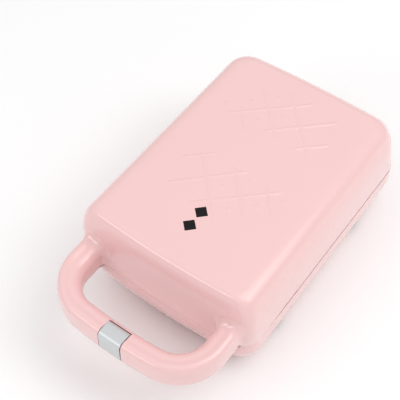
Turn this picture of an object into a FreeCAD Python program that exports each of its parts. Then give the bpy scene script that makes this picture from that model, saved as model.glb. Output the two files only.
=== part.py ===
"""Two-plate waffle maker with a hinged lid, a loop handle and a sprung latch.

The frame is +Z up, +X to the right, the handle towards -Y and the hinge towards +Y.
The origin is the middle of the whole outline on the surface that the feet stand on.
Every length is in millimetres and comes from the "Sizes" sheet.
"""
import FreeCAD, Part
import math
import os
import re
import Sketcher

SIZES = {
    "body_width": ("140", "lid width at its rim"),
    "body_length": ("204", "lid length at its rim, middle of front to middle of back"),
    "lid_height": ("48.7", "parting plane to the top of the lid"),
    "parting_height": ("40", "table to the parting plane between lid and base"),
    "parting_gap": ("1.2", "gap left between the two rims"),
    "wall": ("2.4", "moulded wall"),
    "fit": ("0.3", "gap between pieces of different bodies and round seated pieces"),
    "front_bow": ("756", "radius in plan of the bowed front"),
    "back_bow": ("1061", "radius in plan of the bowed back"),
    "front_corner": ("11", "corner radius in plan at the front of the rim"),
    "back_corner": ("18", "corner radius in plan at the back of the rim"),
    "front_swell": ("3", "extra radius of the front corners half way up the lid"),
    "back_swell": ("9", "extra radius of the back corners half way up the lid"),
    "top_corner": ("11.6", "corner radius in plan at the top of the lid"),
    "side_fall": ("23.1", "how far each side of the lid leans in by its top"),
    "side_power": ("3.9", "how late the side turns in, 2 being an ellipse"),
    "front_fall": ("10.1", "how far the front of the lid leans in by its top"),
    "front_power": ("3.3", "how late the front turns in"),
    "back_fall": ("22.5", "how far the back of the lid leans in by its top"),
    "back_power": ("1.85", "how late the back turns in"),
    "base_inset": ("0.2", "how far the base rim stands inside the lid rim"),
    "base_rim": ("12.9", "height of the upright rim of the base"),
    "base_fall": ("11.5", "how far the base tapers in below its rim"),
    "handle_reach": ("43.4", "middle of the lid front to the middle of the grip"),
    "handle_width": ("16.1", "width of the grip section"),
    "handle_height": ("22.7", "height of the grip section"),
    "handle_lift": ("1.2", "underside of the grip above the parting plane"),
    "arm_inset": ("14.9", "side of the body to the middle of each handle arm"),
    "handle_bend": ("23.6", "bend radius of the handle's middle line"),
    "handle_bow": ("360", "radius in plan of the bowed grip"),
    "handle_round": ("6.8", "round along the top of the grip"),
    "rail_width": ("9", "width of the lower handle rail"),
    "rail_depth": ("7.6", "height of the lower handle rail"),
    "rail_setback": ("6", "front of the lower rail behind the front of the grip"),
    "latch_width": ("16.8", "width of the latch"),
    "latch_skin": ("2.2", "wall of the latch"),
    "latch_side": ("0.5", "gap on each side of the latch"),
    "latch_pivot": ("3.6", "radius of the latch knuckle"),
    "latch_pin": ("1.1", "radius of the latch pin"),
    "latch_hook": ("1.3", "bite of the latch hook under the catch lip"),
    "web_width": ("2.6", "web on each side of the latch notch"),
    "well_radius": ("2.5", "radius of the spring well in the latch"),
    "well_width": ("4.4", "width of the spring well in the latch"),
    "spring_wire": ("0.3", "radius of the latch spring's wire"),
    "spring_radius": ("1.95", "radius of the latch spring"),
    "spring_pitch": ("0.75", "pitch of the latch spring"),
    "spring_turns": ("4", "turns of the latch spring"),
    "catch_width": ("13", "width of the catch tongue"),
    "catch_spread": ("4.5", "middle of the body to the middle of a catch screw"),
    "hinge_setback": ("5.5", "hinge axis behind the back of the rim"),
    "hinge_barrel": ("4.5", "radius of the hinge knuckles"),
    "hinge_pin": ("2", "radius of the hinge pins"),
    "hinge_inset": ("29", "side of the body to the middle of each hinge"),
    "knuckle_width": ("11.4", "width of the lid knuckle"),
    "ear_width": ("5", "width of each base ear"),
    "plate_side": ("8", "side of the body to the flange of a waffle plate"),
    "plate_end": ("16", "end of the body to the flange of a waffle plate"),
    "plate_corner": ("9", "corner radius of the plate flange"),
    "plate_flange": ("2.9", "thickness of the plate flange"),
    "plate_depth": ("11.5", "height of a whole plate"),
    "plate_skin": ("2.5", "wall of the cast plate"),
    "plate_step": ("4", "flange past the basin"),
    "plate_land": ("7", "land between the two moulds"),
    "knob_size": ("8", "side of a waffle knob at its foot"),
    "knob_side": ("12.5", "side of a mould to the middle of its outer knobs"),
    "knob_end": ("12.2", "end of a mould to the middle of its outer knobs"),
    "knob_height": ("6", "height of a waffle knob"),
    "knob_draft": ("12", "draft of a waffle knob in degrees"),
    "plate_boss": ("36", "end of a plate to the screw that holds it"),
    "deck_depth": ("6", "height of the heat shield ring"),
    "heater_radius": ("3.25", "radius of the tube heater"),
    "heater_inset": ("26", "side of the plate to the middle of each leg of the heater"),
    "heater_gap": ("0.4", "heater to plate"),
    "pan_wall": ("0.8", "sheet of the reflector pan"),
    "pan_depth": ("12.2", "depth of the reflector pan"),
    "foot_radius": ("8", "radius of a rubber foot"),
    "foot_height": ("4.5", "rubber foot below its leg"),
    "foot_side": ("14.5", "side of the body to the middle of a foot"),
    "foot_end": ("50", "front and back of the body to the middle of a foot"),
    "screw_head": ("2.7", "radius of a screw head"),
    "screw_shank": ("1.4", "radius of a screw shank"),
    "screw_rise": ("1.8", "height of a screw head"),
    "screw_slot": ("0.8", "width and depth of a screw slot"),
    "front_boss": ("4.6", "inside of the rim to a front deck screw"),
    "back_boss": ("4.6", "inside of the rim to a back deck screw"),
    "boss_height": ("8", "height of a deck screw boss"),
    "boss_inset": ("22", "side of the body to the middle of a deck screw"),
    "boss_side": ("7.6", "side of a deck screw boss"),
    "window_side": ("7.6", "side of a lamp window"),
    "window_front": ("34.4", "front of the lid to the middle of the front window"),
    "window_pitch": ("12.8", "spacing of the two windows"),
    "lamp_radius": ("2.4", "radius of a lamp"),
    "lamp_drop": ("13", "lamp holder below the lid skin"),
    "cord_bore": ("3.5", "radius of the bore in the cord bush"),
    "bush_radius": ("6", "radius of the cord bush where it passes the wall"),
    "bush_length": ("14", "length of the cord bush"),
    "boss_setback": ("0.4", "boss of the cord bush short of the back of the rim"),
    "bush_reach": ("24", "length of the boss of the cord bush"),
    "fuse_drop": ("2.1", "pan to the middle of the thermal fuse"),
    "fuse_place": ("30", "middle of the body to the thermal fuse"),
    "lamp_spread": ("11", "middle of the lid to a lamp holder screw"),
    "block_pitch": ("11", "spacing of the terminals"),
    "block_x": ("-14", "middle of the body to the middle of the terminal block"),
    "block_back": ("40", "back of the body to the middle of the terminal block"),
    "cord_height": ("18", "height of the cord bush above the table"),
}

PLACES = {
    "half_length": "(handle_width / 2 + handle_reach + body_length + hinge_setback + hinge_barrel) / 2",
    "grip_y": "-half_length + handle_width / 2",
    "front_y": "grip_y + handle_reach",
    "back_y": "front_y + body_length",
    "middle_y": "(front_y + back_y) / 2",
    "handle_arm": "body_width / 2 - arm_inset",
    "hinge_spread": "body_width / 2 - hinge_inset",
    "boss_spread": "body_width / 2 - boss_inset",
    "foot_x": "body_width / 2 - foot_side",
    "foot_front": "front_y + foot_end",
    "foot_back": "back_y - foot_end",
    "plate_width": "body_width - 2 * plate_side",
    "plate_length": "body_length - 2 * plate_end",
    "plate_screw": "plate_length / 2 - plate_boss",
    "heater_spread": "plate_width / 2 - heater_inset",
    "hinge_y": "back_y + hinge_setback",
    "lid_bottom": "parting_height + parting_gap / 2",
    "base_top": "parting_height - parting_gap / 2",
    "lid_top": "parting_height + lid_height",
    "housing_bottom": "foot_height",
    "floor_top": "housing_bottom + wall",
    "grip_bottom": "parting_height + handle_lift",
    "grip_top": "grip_bottom + handle_height",
    "rail_top": "base_top",
    "rail_y": "-half_length + rail_setback + rail_width / 2",
    "pivot_y": "grip_y + 1",
    "pivot_z": "grip_top - latch_pivot",
    "screw_pilot": "screw_shank + 0.02",
    "leg_height": "base_top - base_rim - housing_bottom - 6",
    "notch_back": "pivot_y + latch_pivot + 0.5",
    "pin_length": "latch_width + 2 * latch_side + 2 * web_width - 0.8",
    "catch_foot": "rail_top + 3.2",
    "catch_face": "-half_length + 9",
    "catch_back": "-half_length + 12",
    "lip_face": "catch_face - 2.3",
    "lip_bottom": "hook_top + 0.5",
    "lip_top": "lip_bottom + 2.6",
    "hook_tip": "lip_face + latch_hook",
    "hook_bottom": "grip_bottom + 2.2",
    "hook_top": "hook_bottom + 2.2",
    "liner_top": "grip_bottom + 4",
    "deck_top": "base_top - 1",
    "deck_bottom": "deck_top - deck_depth",
    "lid_deck_bottom": "lid_bottom + 1",
    "lid_deck_top": "lid_deck_bottom + deck_depth",
    "plate_top": "parting_height - fit / 2",
    "lid_plate_bottom": "parting_height + fit / 2",
    "deck_share": "(lid_deck_top - lid_bottom) / (lid_top - lid_bottom - wall)",
    "mould_width": "plate_width - 2 * plate_step - 2 * plate_skin",
    "mould_length": "(plate_length - 2 * plate_step - 2 * plate_skin - plate_land) / 2",
    "knob_pitch_x": "(mould_width - 2 * knob_side) / 5",
    "knob_pitch_y": "(mould_length - 2 * knob_end) / 3",
    "pan_bottom": "deck_bottom - pan_depth",
    "lid_pan_top": "lid_deck_top + pan_depth",
    "boss_drop": "plate_top - plate_depth - pan_bottom - pan_wall",
    "lower_heater_level": "plate_top - plate_depth - heater_gap - heater_radius",
    "upper_heater_level": "lid_plate_bottom + plate_depth + heater_gap + heater_radius",
    "window_middle": "front_y + window_front + window_pitch / 2",
    "lamp_level": "lid_top - wall - lamp_drop",
}

doc = FreeCAD.newDocument("WaffleMaker")
sheet = doc.addObject("Spreadsheet::Sheet", "Sizes")
for row, (alias, (number, meaning)) in enumerate(SIZES.items(), start=1):
    sheet.set(f"A{row}", alias)
    sheet.set(f"B{row}", number)
    sheet.set(f"C{row}", meaning)
    sheet.setAlias(f"B{row}", alias)
doc.recompute()

NODES = {}


def bound(text):
    """Write a formula over the size and place names as an expression on the sheet."""
    def named(match):
        word = match.group(0)
        if word in PLACES:
            return "(" + bound(PLACES[word]) + ")"
        return "Sizes." + word if word in SIZES else word
    return re.sub(r"[A-Za-z_]\w*", named, str(text))


def value(text):
    """Work out a formula over the size and place names."""
    return float(sheet.evalExpression(bound(text)))


def node(name, thing):
    """Give a finished sub-part its label, which names its file."""
    thing.Label = name
    NODES[name] = thing
    return thing


# ---------------------------------------------------------------- Part primitives

def place(thing, x="0", y="0", z="0", turn=None):
    """Bind where a primitive stands; turn is an axis and an angle in degrees."""
    if turn:
        thing.Placement.Rotation = FreeCAD.Rotation(FreeCAD.Vector(*turn[0]), turn[1])
    for axis, text in zip("xyz", (x, y, z)):
        thing.setExpression(f"Placement.Base.{axis}", bound(text))
    return thing


ALONG = {"X": ((0, 1, 0), 90), "Y": ((1, 0, 0), -90), "Z": None, "-Z": ((1, 0, 0), 180)}


def cylinder(name, radius, height, x="0", y="0", z="0", along="Z"):
    """A cylinder that starts at x, y, z and runs along an axis."""
    thing = doc.addObject("Part::Cylinder", name)
    thing.setExpression("Radius", bound(radius))
    thing.setExpression("Height", bound(height))
    return place(thing, x, y, z, ALONG[along])


def box(name, length, width, height, x="0", y="0", z="0"):
    """A box centred on x and y that stands on z."""
    thing = doc.addObject("Part::Box", name)
    for size, text in zip(("Length", "Width", "Height"), (length, width, height)):
        thing.setExpression(size, bound(text))
    return place(thing, f"({x}) - ({length}) / 2", f"({y}) - ({width}) / 2", z)


def fuse(name, shapes):
    """Join shapes into one."""
    thing = doc.addObject("Part::MultiFuse", name)
    thing.Shapes = shapes
    return thing


def cut(name, base, tool):
    """Take one shape out of another."""
    thing = doc.addObject("Part::Cut", name)
    thing.Base, thing.Tool = base, tool
    return thing


def group(name, shapes):
    """Keep several separate solids in one sub-part."""
    thing = doc.addObject("Part::Compound", name)
    thing.Links = shapes
    return thing


# ---------------------------------------------------------------- PartDesign bodies

class Piece:
    """A sub-part made as a PartDesign body; sketch origins are given in the frame."""

    PLANES = {
        "XY": ("XY_Plane", lambda x, y, z: (x, y, z)),
        "XZ": ("XZ_Plane", lambda x, y, z: (x, z, f"-({y})")),
        "YZ": ("YZ_Plane", lambda x, y, z: (y, z, x)),
    }

    def __init__(self, name):
        self.body = doc.addObject("PartDesign::Body", name)
        self.count = 0
        self.volume = 0.0

    def new(self, kind, word):
        """Add a feature of a kind to the body."""
        self.count += 1
        return self.body.newObject(kind, f"{self.body.Name}_{word}{self.count}")

    def origin(self, role):
        """The origin plane or axis of the body with a role."""
        return next(part for part in self.body.Origin.OriginFeatures if part.Role == role)

    def sketch(self, plane="XY", x="0", y="0", z="0"):
        """An empty sketch on an origin plane, its own origin moved to x, y, z."""
        role, local = self.PLANES[plane]
        sketch = self.new("Sketcher::SketchObject", "sketch")
        sketch.AttachmentSupport = [(self.origin(role), "")]
        sketch.MapMode = "FlatFace"
        for axis, text in zip("xyz", local(x, y, z)):
            sketch.setExpression(f"AttachmentOffset.Base.{axis}", bound(text))
        return sketch

    def finish(self, feature):
        """Recompute the body and stop when a feature leaves its volume as it was."""
        doc.recompute()
        if "Invalid" in feature.State or "Error" in feature.State or feature.Shape.isNull():
            raise RuntimeError(f"{feature.Name} fails")
        if abs(feature.Shape.Volume - self.volume) < 1e-3:
            raise RuntimeError(f"{feature.Name} changes nothing")
        self.volume = feature.Shape.Volume
        return feature

    def pad(self, sketch, length, midplane=False, backwards=False, draft=None):
        """Pad a sketch along its normal."""
        feature = self.new("PartDesign::Pad", "pad")
        feature.Profile = sketch
        feature.setExpression("Length", bound(length))
        feature.Midplane = midplane
        feature.Reversed = backwards
        if draft:
            feature.setExpression("TaperAngle", bound(draft))
        return self.finish(feature)

    def pocket(self, sketch, depth, midplane=False, backwards=False):
        """Pocket a sketch against its normal, or along it when backwards."""
        feature = self.new("PartDesign::Pocket", "pocket")
        feature.Profile = sketch
        feature.setExpression("Length", bound(depth))
        feature.Midplane = midplane
        feature.Reversed = backwards
        return self.finish(feature)

    def turn(self, flip, y, z):
        """Move the body's own frame to y, z and turn it over when it hangs in the lid."""
        if flip:
            self.body.Placement.Rotation = FreeCAD.Rotation(FreeCAD.Vector(0, 1, 0), 180)
        self.body.setExpression("Placement.Base.y", bound(y))
        self.body.setExpression("Placement.Base.z", bound(z))

    def grid(self, feature, rows):
        """Repeat a feature in rows along X and Y, and mirror the rows across Y."""
        many = self.new("PartDesign::MultiTransform", "rows")
        many.Originals = [feature]
        steps = []
        for role, (count, pitch) in rows.items():
            step = self.new("PartDesign::LinearPattern", "row")
            step.Direction = (self.origin(role), [""])
            step.setExpression("Length", bound(f"{pitch} * {count - 1}"))
            step.Occurrences = count
            steps.append(step)
        flip = self.new("PartDesign::Mirrored", "mirror")
        flip.MirrorPlane = (self.origin("XZ_Plane"), [""])
        many.Transformations = steps + [flip]
        self.body.Tip = many
        return self.finish(many)

    def revolve(self, sketch, axis="V_Axis"):
        """Turn a sketch a full circle about one of its own axes."""
        feature = self.new("PartDesign::Revolution", "turned")
        feature.Profile = sketch
        feature.ReferenceAxis = (sketch, [axis])
        feature.Angle = 360
        return self.finish(feature)

    def loft(self, sketches, hollow=False):
        """Loft through sketches, adding or taking away."""
        kind = "PartDesign::SubtractiveLoft" if hollow else "PartDesign::AdditiveLoft"
        feature = self.new(kind, "loft")
        feature.Profile = sketches[0]
        feature.Sections = sketches[1:]
        return self.finish(feature)

    def pipe(self, profile, spine, hollow=False):
        """Carry a profile along a spine, adding or taking away."""
        kind = "PartDesign::SubtractivePipe" if hollow else "PartDesign::AdditivePipe"
        feature = self.new(kind, "pipe")
        feature.Profile = profile
        feature.Spine = spine
        return self.finish(feature)


def draw(sketch, corners, closed=True):
    """Draw a chain of lines and arcs through corners, each bound to the sheet.

    A corner is (x, y) or (x, y, radius): the radius makes the edge that arrives
    there an arc, turning left when it is positive and right when negative.
    """
    spots = [(value(corner[0]), value(corner[1])) for corner in corners]
    steps = range(0 if closed else 1, len(corners))
    for step in steps:
        (ax, ay), (bx, by) = spots[step - 1], spots[step]
        start, end = FreeCAD.Vector(ax, ay, 0), FreeCAD.Vector(bx, by, 0)
        corner = corners[step]
        if len(corner) == 3:
            bend = value(corner[2])
            middle, chord = (start + end) * 0.5, end - start
            rise = math.sqrt(max(bend * bend - chord.Length ** 2 / 4, 0.0))
            left = FreeCAD.Vector(-chord.y, chord.x, 0).normalize()
            side = 1 if bend > 0 else -1
            centre = middle + left * rise * side
            via = centre + (middle - left * side - centre).normalize() * abs(bend)
            if rise < 1e-6:
                via = middle - left * bend
            sketch.addGeometry(Part.Arc(start, via, end), False)
        else:
            sketch.addGeometry(Part.LineSegment(start, end), False)
    last = len(sketch.Geometry)
    joins = list(zip(range(last), list(range(1, last)) + [0]))
    names = []

    def ends(edge, forward):
        """The sketch's number for the start or end of an edge as it is drawn."""
        turned = len(corners[steps[edge]]) == 3 and value(corners[steps[edge]][2]) < 0
        return (1 if turned else 2) if forward else (2 if turned else 1)

    for edge, after in joins if closed else joins[:-1]:
        sketch.addConstraint(Sketcher.Constraint(
            "Coincident", edge, ends(edge, True), after, ends(after, False)))
    for edge in range(last):
        spot = corners[steps[edge]]
        names.append((edge, ends(edge, True), spot))
        if len(spot) == 3:
            number = sketch.addConstraint(Sketcher.Constraint("Radius", edge, abs(value(spot[2]))))
            sketch.setExpression(f"Constraints[{number}]", bound(f"abs({spot[2]})"))
    if not closed:
        names.append((0, ends(0, False), corners[0]))
    for edge, end, spot in names:
        for kind, text in (("DistanceX", spot[0]), ("DistanceY", spot[1])):
            number = sketch.addConstraint(Sketcher.Constraint(kind, -1, 1, edge, end, value(text)))
            sketch.setExpression(f"Constraints[{number}]", bound(text))
    return sketch


def ring(sketch, radius, x="0", y="0"):
    """Draw a circle bound to the sheet."""
    centre = FreeCAD.Vector(value(x), value(y), 0)
    edge = sketch.addGeometry(Part.Circle(centre, FreeCAD.Vector(0, 0, 1), value(radius)), False)
    for kind, text in (("DistanceX", x), ("DistanceY", y)):
        number = sketch.addConstraint(Sketcher.Constraint(kind, -1, 1, edge, 3, value(text)))
        sketch.setExpression(f"Constraints[{number}]", bound(text))
    number = sketch.addConstraint(Sketcher.Constraint("Radius", edge, value(radius)))
    sketch.setExpression(f"Constraints[{number}]", bound(radius))
    return sketch


def rounded(width, depth, corner, x="0", y="0"):
    """Corners of a rounded rectangle."""
    w, d, r = f"({width}) / 2", f"({depth}) / 2", f"({corner})"
    spots = [(w, f"-{d} + {r}", r), (w, f"{d} - {r}"), (f"{w} - {r}", d, r), (f"-{w} + {r}", d),
             (f"-{w}", f"{d} - {r}", r), (f"-{w}", f"-{d} + {r}"), (f"-{w} + {r}", f"-{d}", r),
             (f"{w} - {r}", f"-{d}")]
    return [(f"{x} + {spot[0]}", f"{y} + {spot[1]}") + tuple(spot[2:]) for spot in spots]


def oblong(width, depth, x="0", y="0"):
    """Corners of a plain rectangle."""
    w, d = f"({width}) / 2", f"({depth}) / 2"
    return [(f"{x} - {w}", f"{y} - {d}"), (f"{x} + {w}", f"{y} - {d}"),
            (f"{x} + {w}", f"{y} + {d}"), (f"{x} - {w}", f"{y} + {d}")]


def bowed(half, front, back, front_round, back_round):
    """Corners of the body's plan: straight sides, bowed ends, all meeting in tangents.

    Each end is an arc about a point on the middle line. A corner's own centre lies
    on the circle of radius (bow - corner) about that point, so the two arcs touch
    where the line through both centres leaves the corner.
    """
    def end(apex, bow, corner, sign):
        centre = f"(({apex}) + {sign} * {bow})"
        run = f"(({half}) - ({corner}))"
        lift = f"sqrt(({bow} - ({corner}))^2 - {run}^2)"
        side_y = f"({centre} - {sign} * {lift})"
        scale = f"({bow} / ({bow} - ({corner})))"
        return side_y, f"({run} * {scale})", f"({centre} + ({side_y} - {centre}) * {scale})"

    front_side, front_x, front_touch = end(front, "front_bow", front_round, 1)
    back_side, back_x, back_touch = end(back, "back_bow", back_round, -1)
    return [(front_x, front_touch, "front_bow"), (half, front_side, front_round),
            (half, back_side), (back_x, back_touch, back_round),
            (f"-{back_x}", back_touch, "back_bow"), (f"-({half})", back_side, back_round),
            (f"-({half})", front_side), (f"-{front_x}", front_touch, front_round)]


def fall(amount, power, share):
    """How far a wall has leaned in at a share of the height, along a superellipse."""
    if share in (0, 1):
        return f"{amount} * {share}"
    return f"{amount} * (1 - (1 - {share}^{power})^(1 / {power}))"


def lid_corner(end, share):
    """The corner radius at one end of the lid, at a share of its height."""
    return (f"{end}_corner + (top_corner - {end}_corner) * {share}"
            f" + {end}_swell * 4 * {share} * (1 - {share})")


LID_SHARES = (0, 0.35, 0.6, 0.78, 0.89, 0.955, 0.985, 0.998, 1)


def lid_sections(piece, inward):
    """Sections of the lid from rim to top, all moved inwards by a wall."""
    sections = []
    for share in LID_SHARES:
        height = f"lid_bottom + (lid_top - lid_bottom - ({inward})) * {share}"
        sketch = piece.sketch(z=height)
        side, front, back = (fall(f"{name}_fall", f"{name}_power", share)
                             for name in ("side", "front", "back"))
        draw(sketch, bowed(
            f"body_width / 2 - {side} - ({inward})",
            f"front_y + {front} + ({inward})", f"back_y - {back} - ({inward})",
            *(f"{lid_corner(end, share)} - ({inward})" for end in ("front", "back"))))
        sections.append(sketch)
    return sections


BASE_SHARES = (0, 0.3, 0.62, 0.85, 1)


def base_outline(inward, lean):
    """The base's plan, leaned in from its rim and moved inwards by a wall."""
    inset = f"(base_inset + {lean} + ({inward}))"
    tight = f"(base_inset + ({inward}) + {lean} / 3)"
    return bowed(f"body_width / 2 - {inset}", f"front_y + {inset}", f"back_y - {inset}",
                 f"front_corner - {tight}", f"back_corner - {tight}")


def base_bowl(piece, inward, hollow=False):
    """The base's upright rim and the taper below it, adding or taking away."""
    rim = draw(piece.sketch(z="base_top - base_rim"), base_outline(inward, "0"))
    if hollow:
        piece.pocket(rim, "base_rim + 1", backwards=True)
    else:
        piece.pad(rim, "base_rim")
    sections = []
    drop = f"(base_top - base_rim - housing_bottom - ({inward}))"
    for share in BASE_SHARES:
        lean = f"base_fall * (0.55 * {share} + 0.45 * {share}^3)"
        sketch = piece.sketch(z=f"base_top - base_rim - {drop} * {share}")
        sections.append(draw(sketch, base_outline(inward, lean)))
    piece.loft(sections, hollow)


def loop(start, arm, middle, bend, bow):
    """Corners of a handle's middle line: arm, bend, bowed grip, bend, arm."""
    centre = f"(({middle}) + {bow})"
    run = f"(({arm}) - ({bend}))"
    turn_y = f"({centre} - sqrt(({bow} - ({bend}))^2 - {run}^2))"
    scale = f"({bow} / ({bow} - ({bend})))"
    touch_x, touch_y = f"({run} * {scale})", f"({centre} + ({turn_y} - {centre}) * {scale})"
    return [(f"-({arm})", start), (f"-({arm})", turn_y), (f"-{touch_x}", touch_y, bend),
            (touch_x, touch_y, bow), (arm, turn_y, bend), (arm, start)]


def grip_section(inward, bottom):
    """Corners of the handle section: upright sides and a well rounded top."""
    w, r = f"(handle_width / 2 - ({inward}))", f"(handle_round - ({inward}))"
    top = f"(grip_top - ({inward}))"
    return [(f"-{w}", bottom), (w, bottom), (w, f"{top} - {r}"), (f"{w} - {r}", top, r),
            (f"-{w} + {r}", top), (f"-{w}", f"{top} - {r}", r)]


# ---------------------------------------------------------------- hinge and handle places

HINGES = {"left": "-hinge_spread", "right": "hinge_spread"}
FLANKS = (-1, 1)
DECK_SCREWS = [(f"{side} * boss_spread", spot) for side in FLANKS
               for spot in ("front_y + base_inset + wall + front_boss",
                            "back_y - base_inset - wall - back_boss")]
PLATE_SCREWS = ("-plate_screw", "plate_screw")


def knuckle(piece, x, width, arm_bottom, arm_top, reach):
    """A hinge barrel on an arm that runs forward into the wall."""
    arm = piece.sketch("YZ", x=x, y="hinge_y", z="parting_height")
    draw(arm, [(f"-({reach})", arm_bottom), ("0", arm_bottom), ("0", arm_top),
               (f"-({reach})", arm_top)])
    piece.pad(arm, width, midplane=True)
    barrel = piece.sketch("YZ", x=x, y="hinge_y", z="parting_height")
    ring(barrel, "hinge_barrel")
    piece.pad(barrel, width, midplane=True)


def screw(name, x, y, z, length, down=True):
    """A pan head screw whose head rests on z."""
    sign = 1 if down else -1
    head = cylinder(f"{name}_head", "screw_head", "screw_rise", x, y, z, "Z" if down else "-Z")
    shank = cylinder(f"{name}_shank", "screw_shank", f"{length} + 0.5", x, y,
                     f"{z} + {0.5 * sign}", "-Z" if down else "Z")
    slot = box(f"{name}_slot", "screw_slot", "1.35 * screw_head", "screw_slot", x, y,
               f"{z} + screw_rise - 0.7" if down else f"{z} - screw_rise - 0.1")
    return cut(f"{name}_screw", fuse(f"{name}_blank", [head, shank]), slot)


# ---------------------------------------------------------------- the base

def base_housing():
    """The lower shell: tapered bowl, handle rail, legs, hinge ears, screw bosses."""
    piece = Piece("BaseHousing")
    base_bowl(piece, "0")
    for side in FLANKS:
        for y in ("foot_front", "foot_back"):
            leg = ring(piece.sketch(z="housing_bottom"), "foot_radius + 1", f"{side} * foot_x", y)
            piece.pad(leg, "leg_height")
    boss = draw(piece.sketch("XZ", y="back_y - bush_reach", z="cord_height"),
                rounded("2 * bush_radius + 12", "2 * bush_radius + 6", "5"))
    piece.pad(boss, "bush_reach - boss_setback", backwards=True)
    rail = draw(piece.sketch("XZ", x="-handle_arm", y="front_y + 6", z="rail_top - rail_depth / 2"),
                rounded("rail_width", "rail_depth", "1.5"))
    spine = draw(piece.sketch(z="rail_top - rail_depth / 2"),
                 loop("front_y + 6", "handle_arm", "rail_y", "handle_bend", "handle_bow"), closed=False)
    piece.pipe(rail, spine)
    base_bowl(piece, "wall", hollow=True)
    for side in HINGES.values():
        for hand in FLANKS:
            x = f"{side} + {hand} * ((knuckle_width + ear_width) / 2 + fit)"
            knuckle(piece, x, "ear_width", "-hinge_barrel", "-parting_gap / 2",
                    "hinge_setback + base_inset + wall + 0.5")
    for x, y in DECK_SCREWS:
        post = draw(piece.sketch(z="deck_bottom - boss_height"), oblong("boss_side", "boss_side", x, y))
        piece.pad(post, "boss_height")
        piece.pocket(ring(piece.sketch(z="deck_bottom"), "screw_pilot", x, y), "boss_height - 0.5")
    bores = ring(piece.sketch("YZ", y="hinge_y", z="parting_height"), "hinge_pin + 0.02")
    piece.pocket(bores, "2 * hinge_spread + knuckle_width + 3 * ear_width", midplane=True)
    hole = ring(piece.sketch("XZ", y="back_y", z="cord_height"), "bush_radius + 0.1")
    piece.pocket(hole, "40", midplane=True)
    for side in FLANKS:
        for y in ("foot_front", "foot_back"):
            seat = ring(piece.sketch(z="housing_bottom"), "foot_radius / 2", f"{side} * foot_x", y)
            piece.pocket(seat, "3", backwards=True)
        hole = ring(piece.sketch(z="rail_top - rail_depth"), "screw_shank + 0.1",
                    f"{side} * catch_spread", "rail_y")
        piece.pocket(hole, "rail_depth + 1", backwards=True)
    return node("base_housing", piece.body)


def catch_tongue():
    """The catch on the lower rail: a foot, a tongue and a lip that faces forward."""
    piece = Piece("CatchTongue")
    side = draw(piece.sketch("YZ"), [
        ("-half_length + 7", "rail_top"), ("-half_length + 12.5", "rail_top"),
        ("-half_length + 12.5", "catch_foot"), ("catch_back", "catch_foot"),
        ("catch_back", "lip_top"), ("catch_face", "lip_top"), ("lip_face", "lip_bottom + 0.8"),
        ("lip_face", "lip_bottom"), ("catch_face", "lip_bottom"), ("catch_face", "catch_foot"),
        ("-half_length + 7", "catch_foot")])
    piece.pad(side, "catch_width", midplane=True)
    for hand in FLANKS:
        pilot = ring(piece.sketch(z="rail_top"), "screw_pilot",
                     f"{hand} * catch_spread", "rail_y")
        piece.pocket(pilot, "6", backwards=True)
    return node("catch_tongue", piece.body)


def heat_deck(name, words, flip, clear):
    """A heat shield ring: fills the rim, carries the plate flange, open for the basin."""
    piece = Piece(words)
    low, high = ("deck_bottom", "deck_top") if not flip else ("lid_deck_bottom", "lid_deck_top")
    inset = f"({clear})"
    corners = [lid_corner(end, "deck_share") if flip else f"{end}_corner" for end in ("front", "back")]
    outline = draw(piece.sketch(z=low), bowed(
        f"body_width / 2 - {inset}", f"front_y + {inset}", f"back_y - {inset} - {0.4 if flip else 0}",
        *(f"{corner} - {inset} + fit" for corner in corners)))
    piece.pad(outline, "deck_depth")
    basin = draw(piece.sketch(z=high), rounded(
        "plate_width - 2 * plate_step + 0.8", "plate_length - 2 * plate_step + 0.8",
        "plate_corner - 1.6", "0", "middle_y"))
    piece.pocket(basin, "deck_depth")
    ledge = draw(piece.sketch(z=low if flip else high), rounded(
        "plate_width + 2 * fit", "plate_length + 2 * fit", "plate_corner + fit", "0", "middle_y"))
    depth = "lid_plate_bottom + plate_flange - lid_deck_bottom" if flip else \
        "deck_top - plate_top + plate_flange"
    piece.pocket(ledge, depth, backwards=flip)
    for x, y in DECK_SCREWS:
        piece.pocket(ring(piece.sketch(z=high), "screw_shank + 0.1", x, y), "deck_depth")
        head = ring(piece.sketch(z=low if flip else high), "screw_head + 0.3", x, y)
        piece.pocket(head, "screw_rise + 0.1", backwards=flip)
    return node(name, piece.body)


def waffle_plate(name, words, flip):
    """A cast plate: flange, basin, two moulds with rows of tapered knobs, screw bosses."""
    piece = Piece(words)
    face = "lid_plate_bottom" if flip else "plate_top"
    piece.turn(flip, "middle_y", face)
    flange = draw(piece.sketch(z="-plate_flange"), rounded("plate_width", "plate_length", "plate_corner"))
    piece.pad(flange, "plate_flange")
    basin = draw(piece.sketch(z="-plate_flange"), rounded(
        "plate_width - 2 * plate_step", "plate_length - 2 * plate_step", "plate_corner - 2"))
    piece.pad(basin, "plate_depth - plate_flange", backwards=True)
    for y in PLATE_SCREWS:
        boss = ring(piece.sketch(z="-plate_depth"), "4", "0", y)
        piece.pad(boss, "boss_drop", backwards=True)
        pilot = ring(piece.sketch(z="-plate_depth - boss_drop"), "screw_pilot", "0", y)
        piece.pocket(pilot, "boss_drop", backwards=True)
    for side in FLANKS:
        mould = draw(piece.sketch(), rounded(
            "mould_width", "mould_length", "5", "0", f"{side} * (mould_length + plate_land) / 2"))
        piece.pocket(mould, "plate_depth - plate_skin")
    corner = ("knob_side - mould_width / 2", "plate_land / 2 + knob_end")
    knob = piece.pad(draw(piece.sketch(z="-plate_depth + plate_skin"),
                          oblong("knob_size", "knob_size", *corner)), "knob_height", draft="-knob_draft")
    piece.grid(knob, {"X_Axis": (6, "knob_pitch_x"), "Y_Axis": (4, "knob_pitch_y")})
    return node(name, piece.body)


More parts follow.
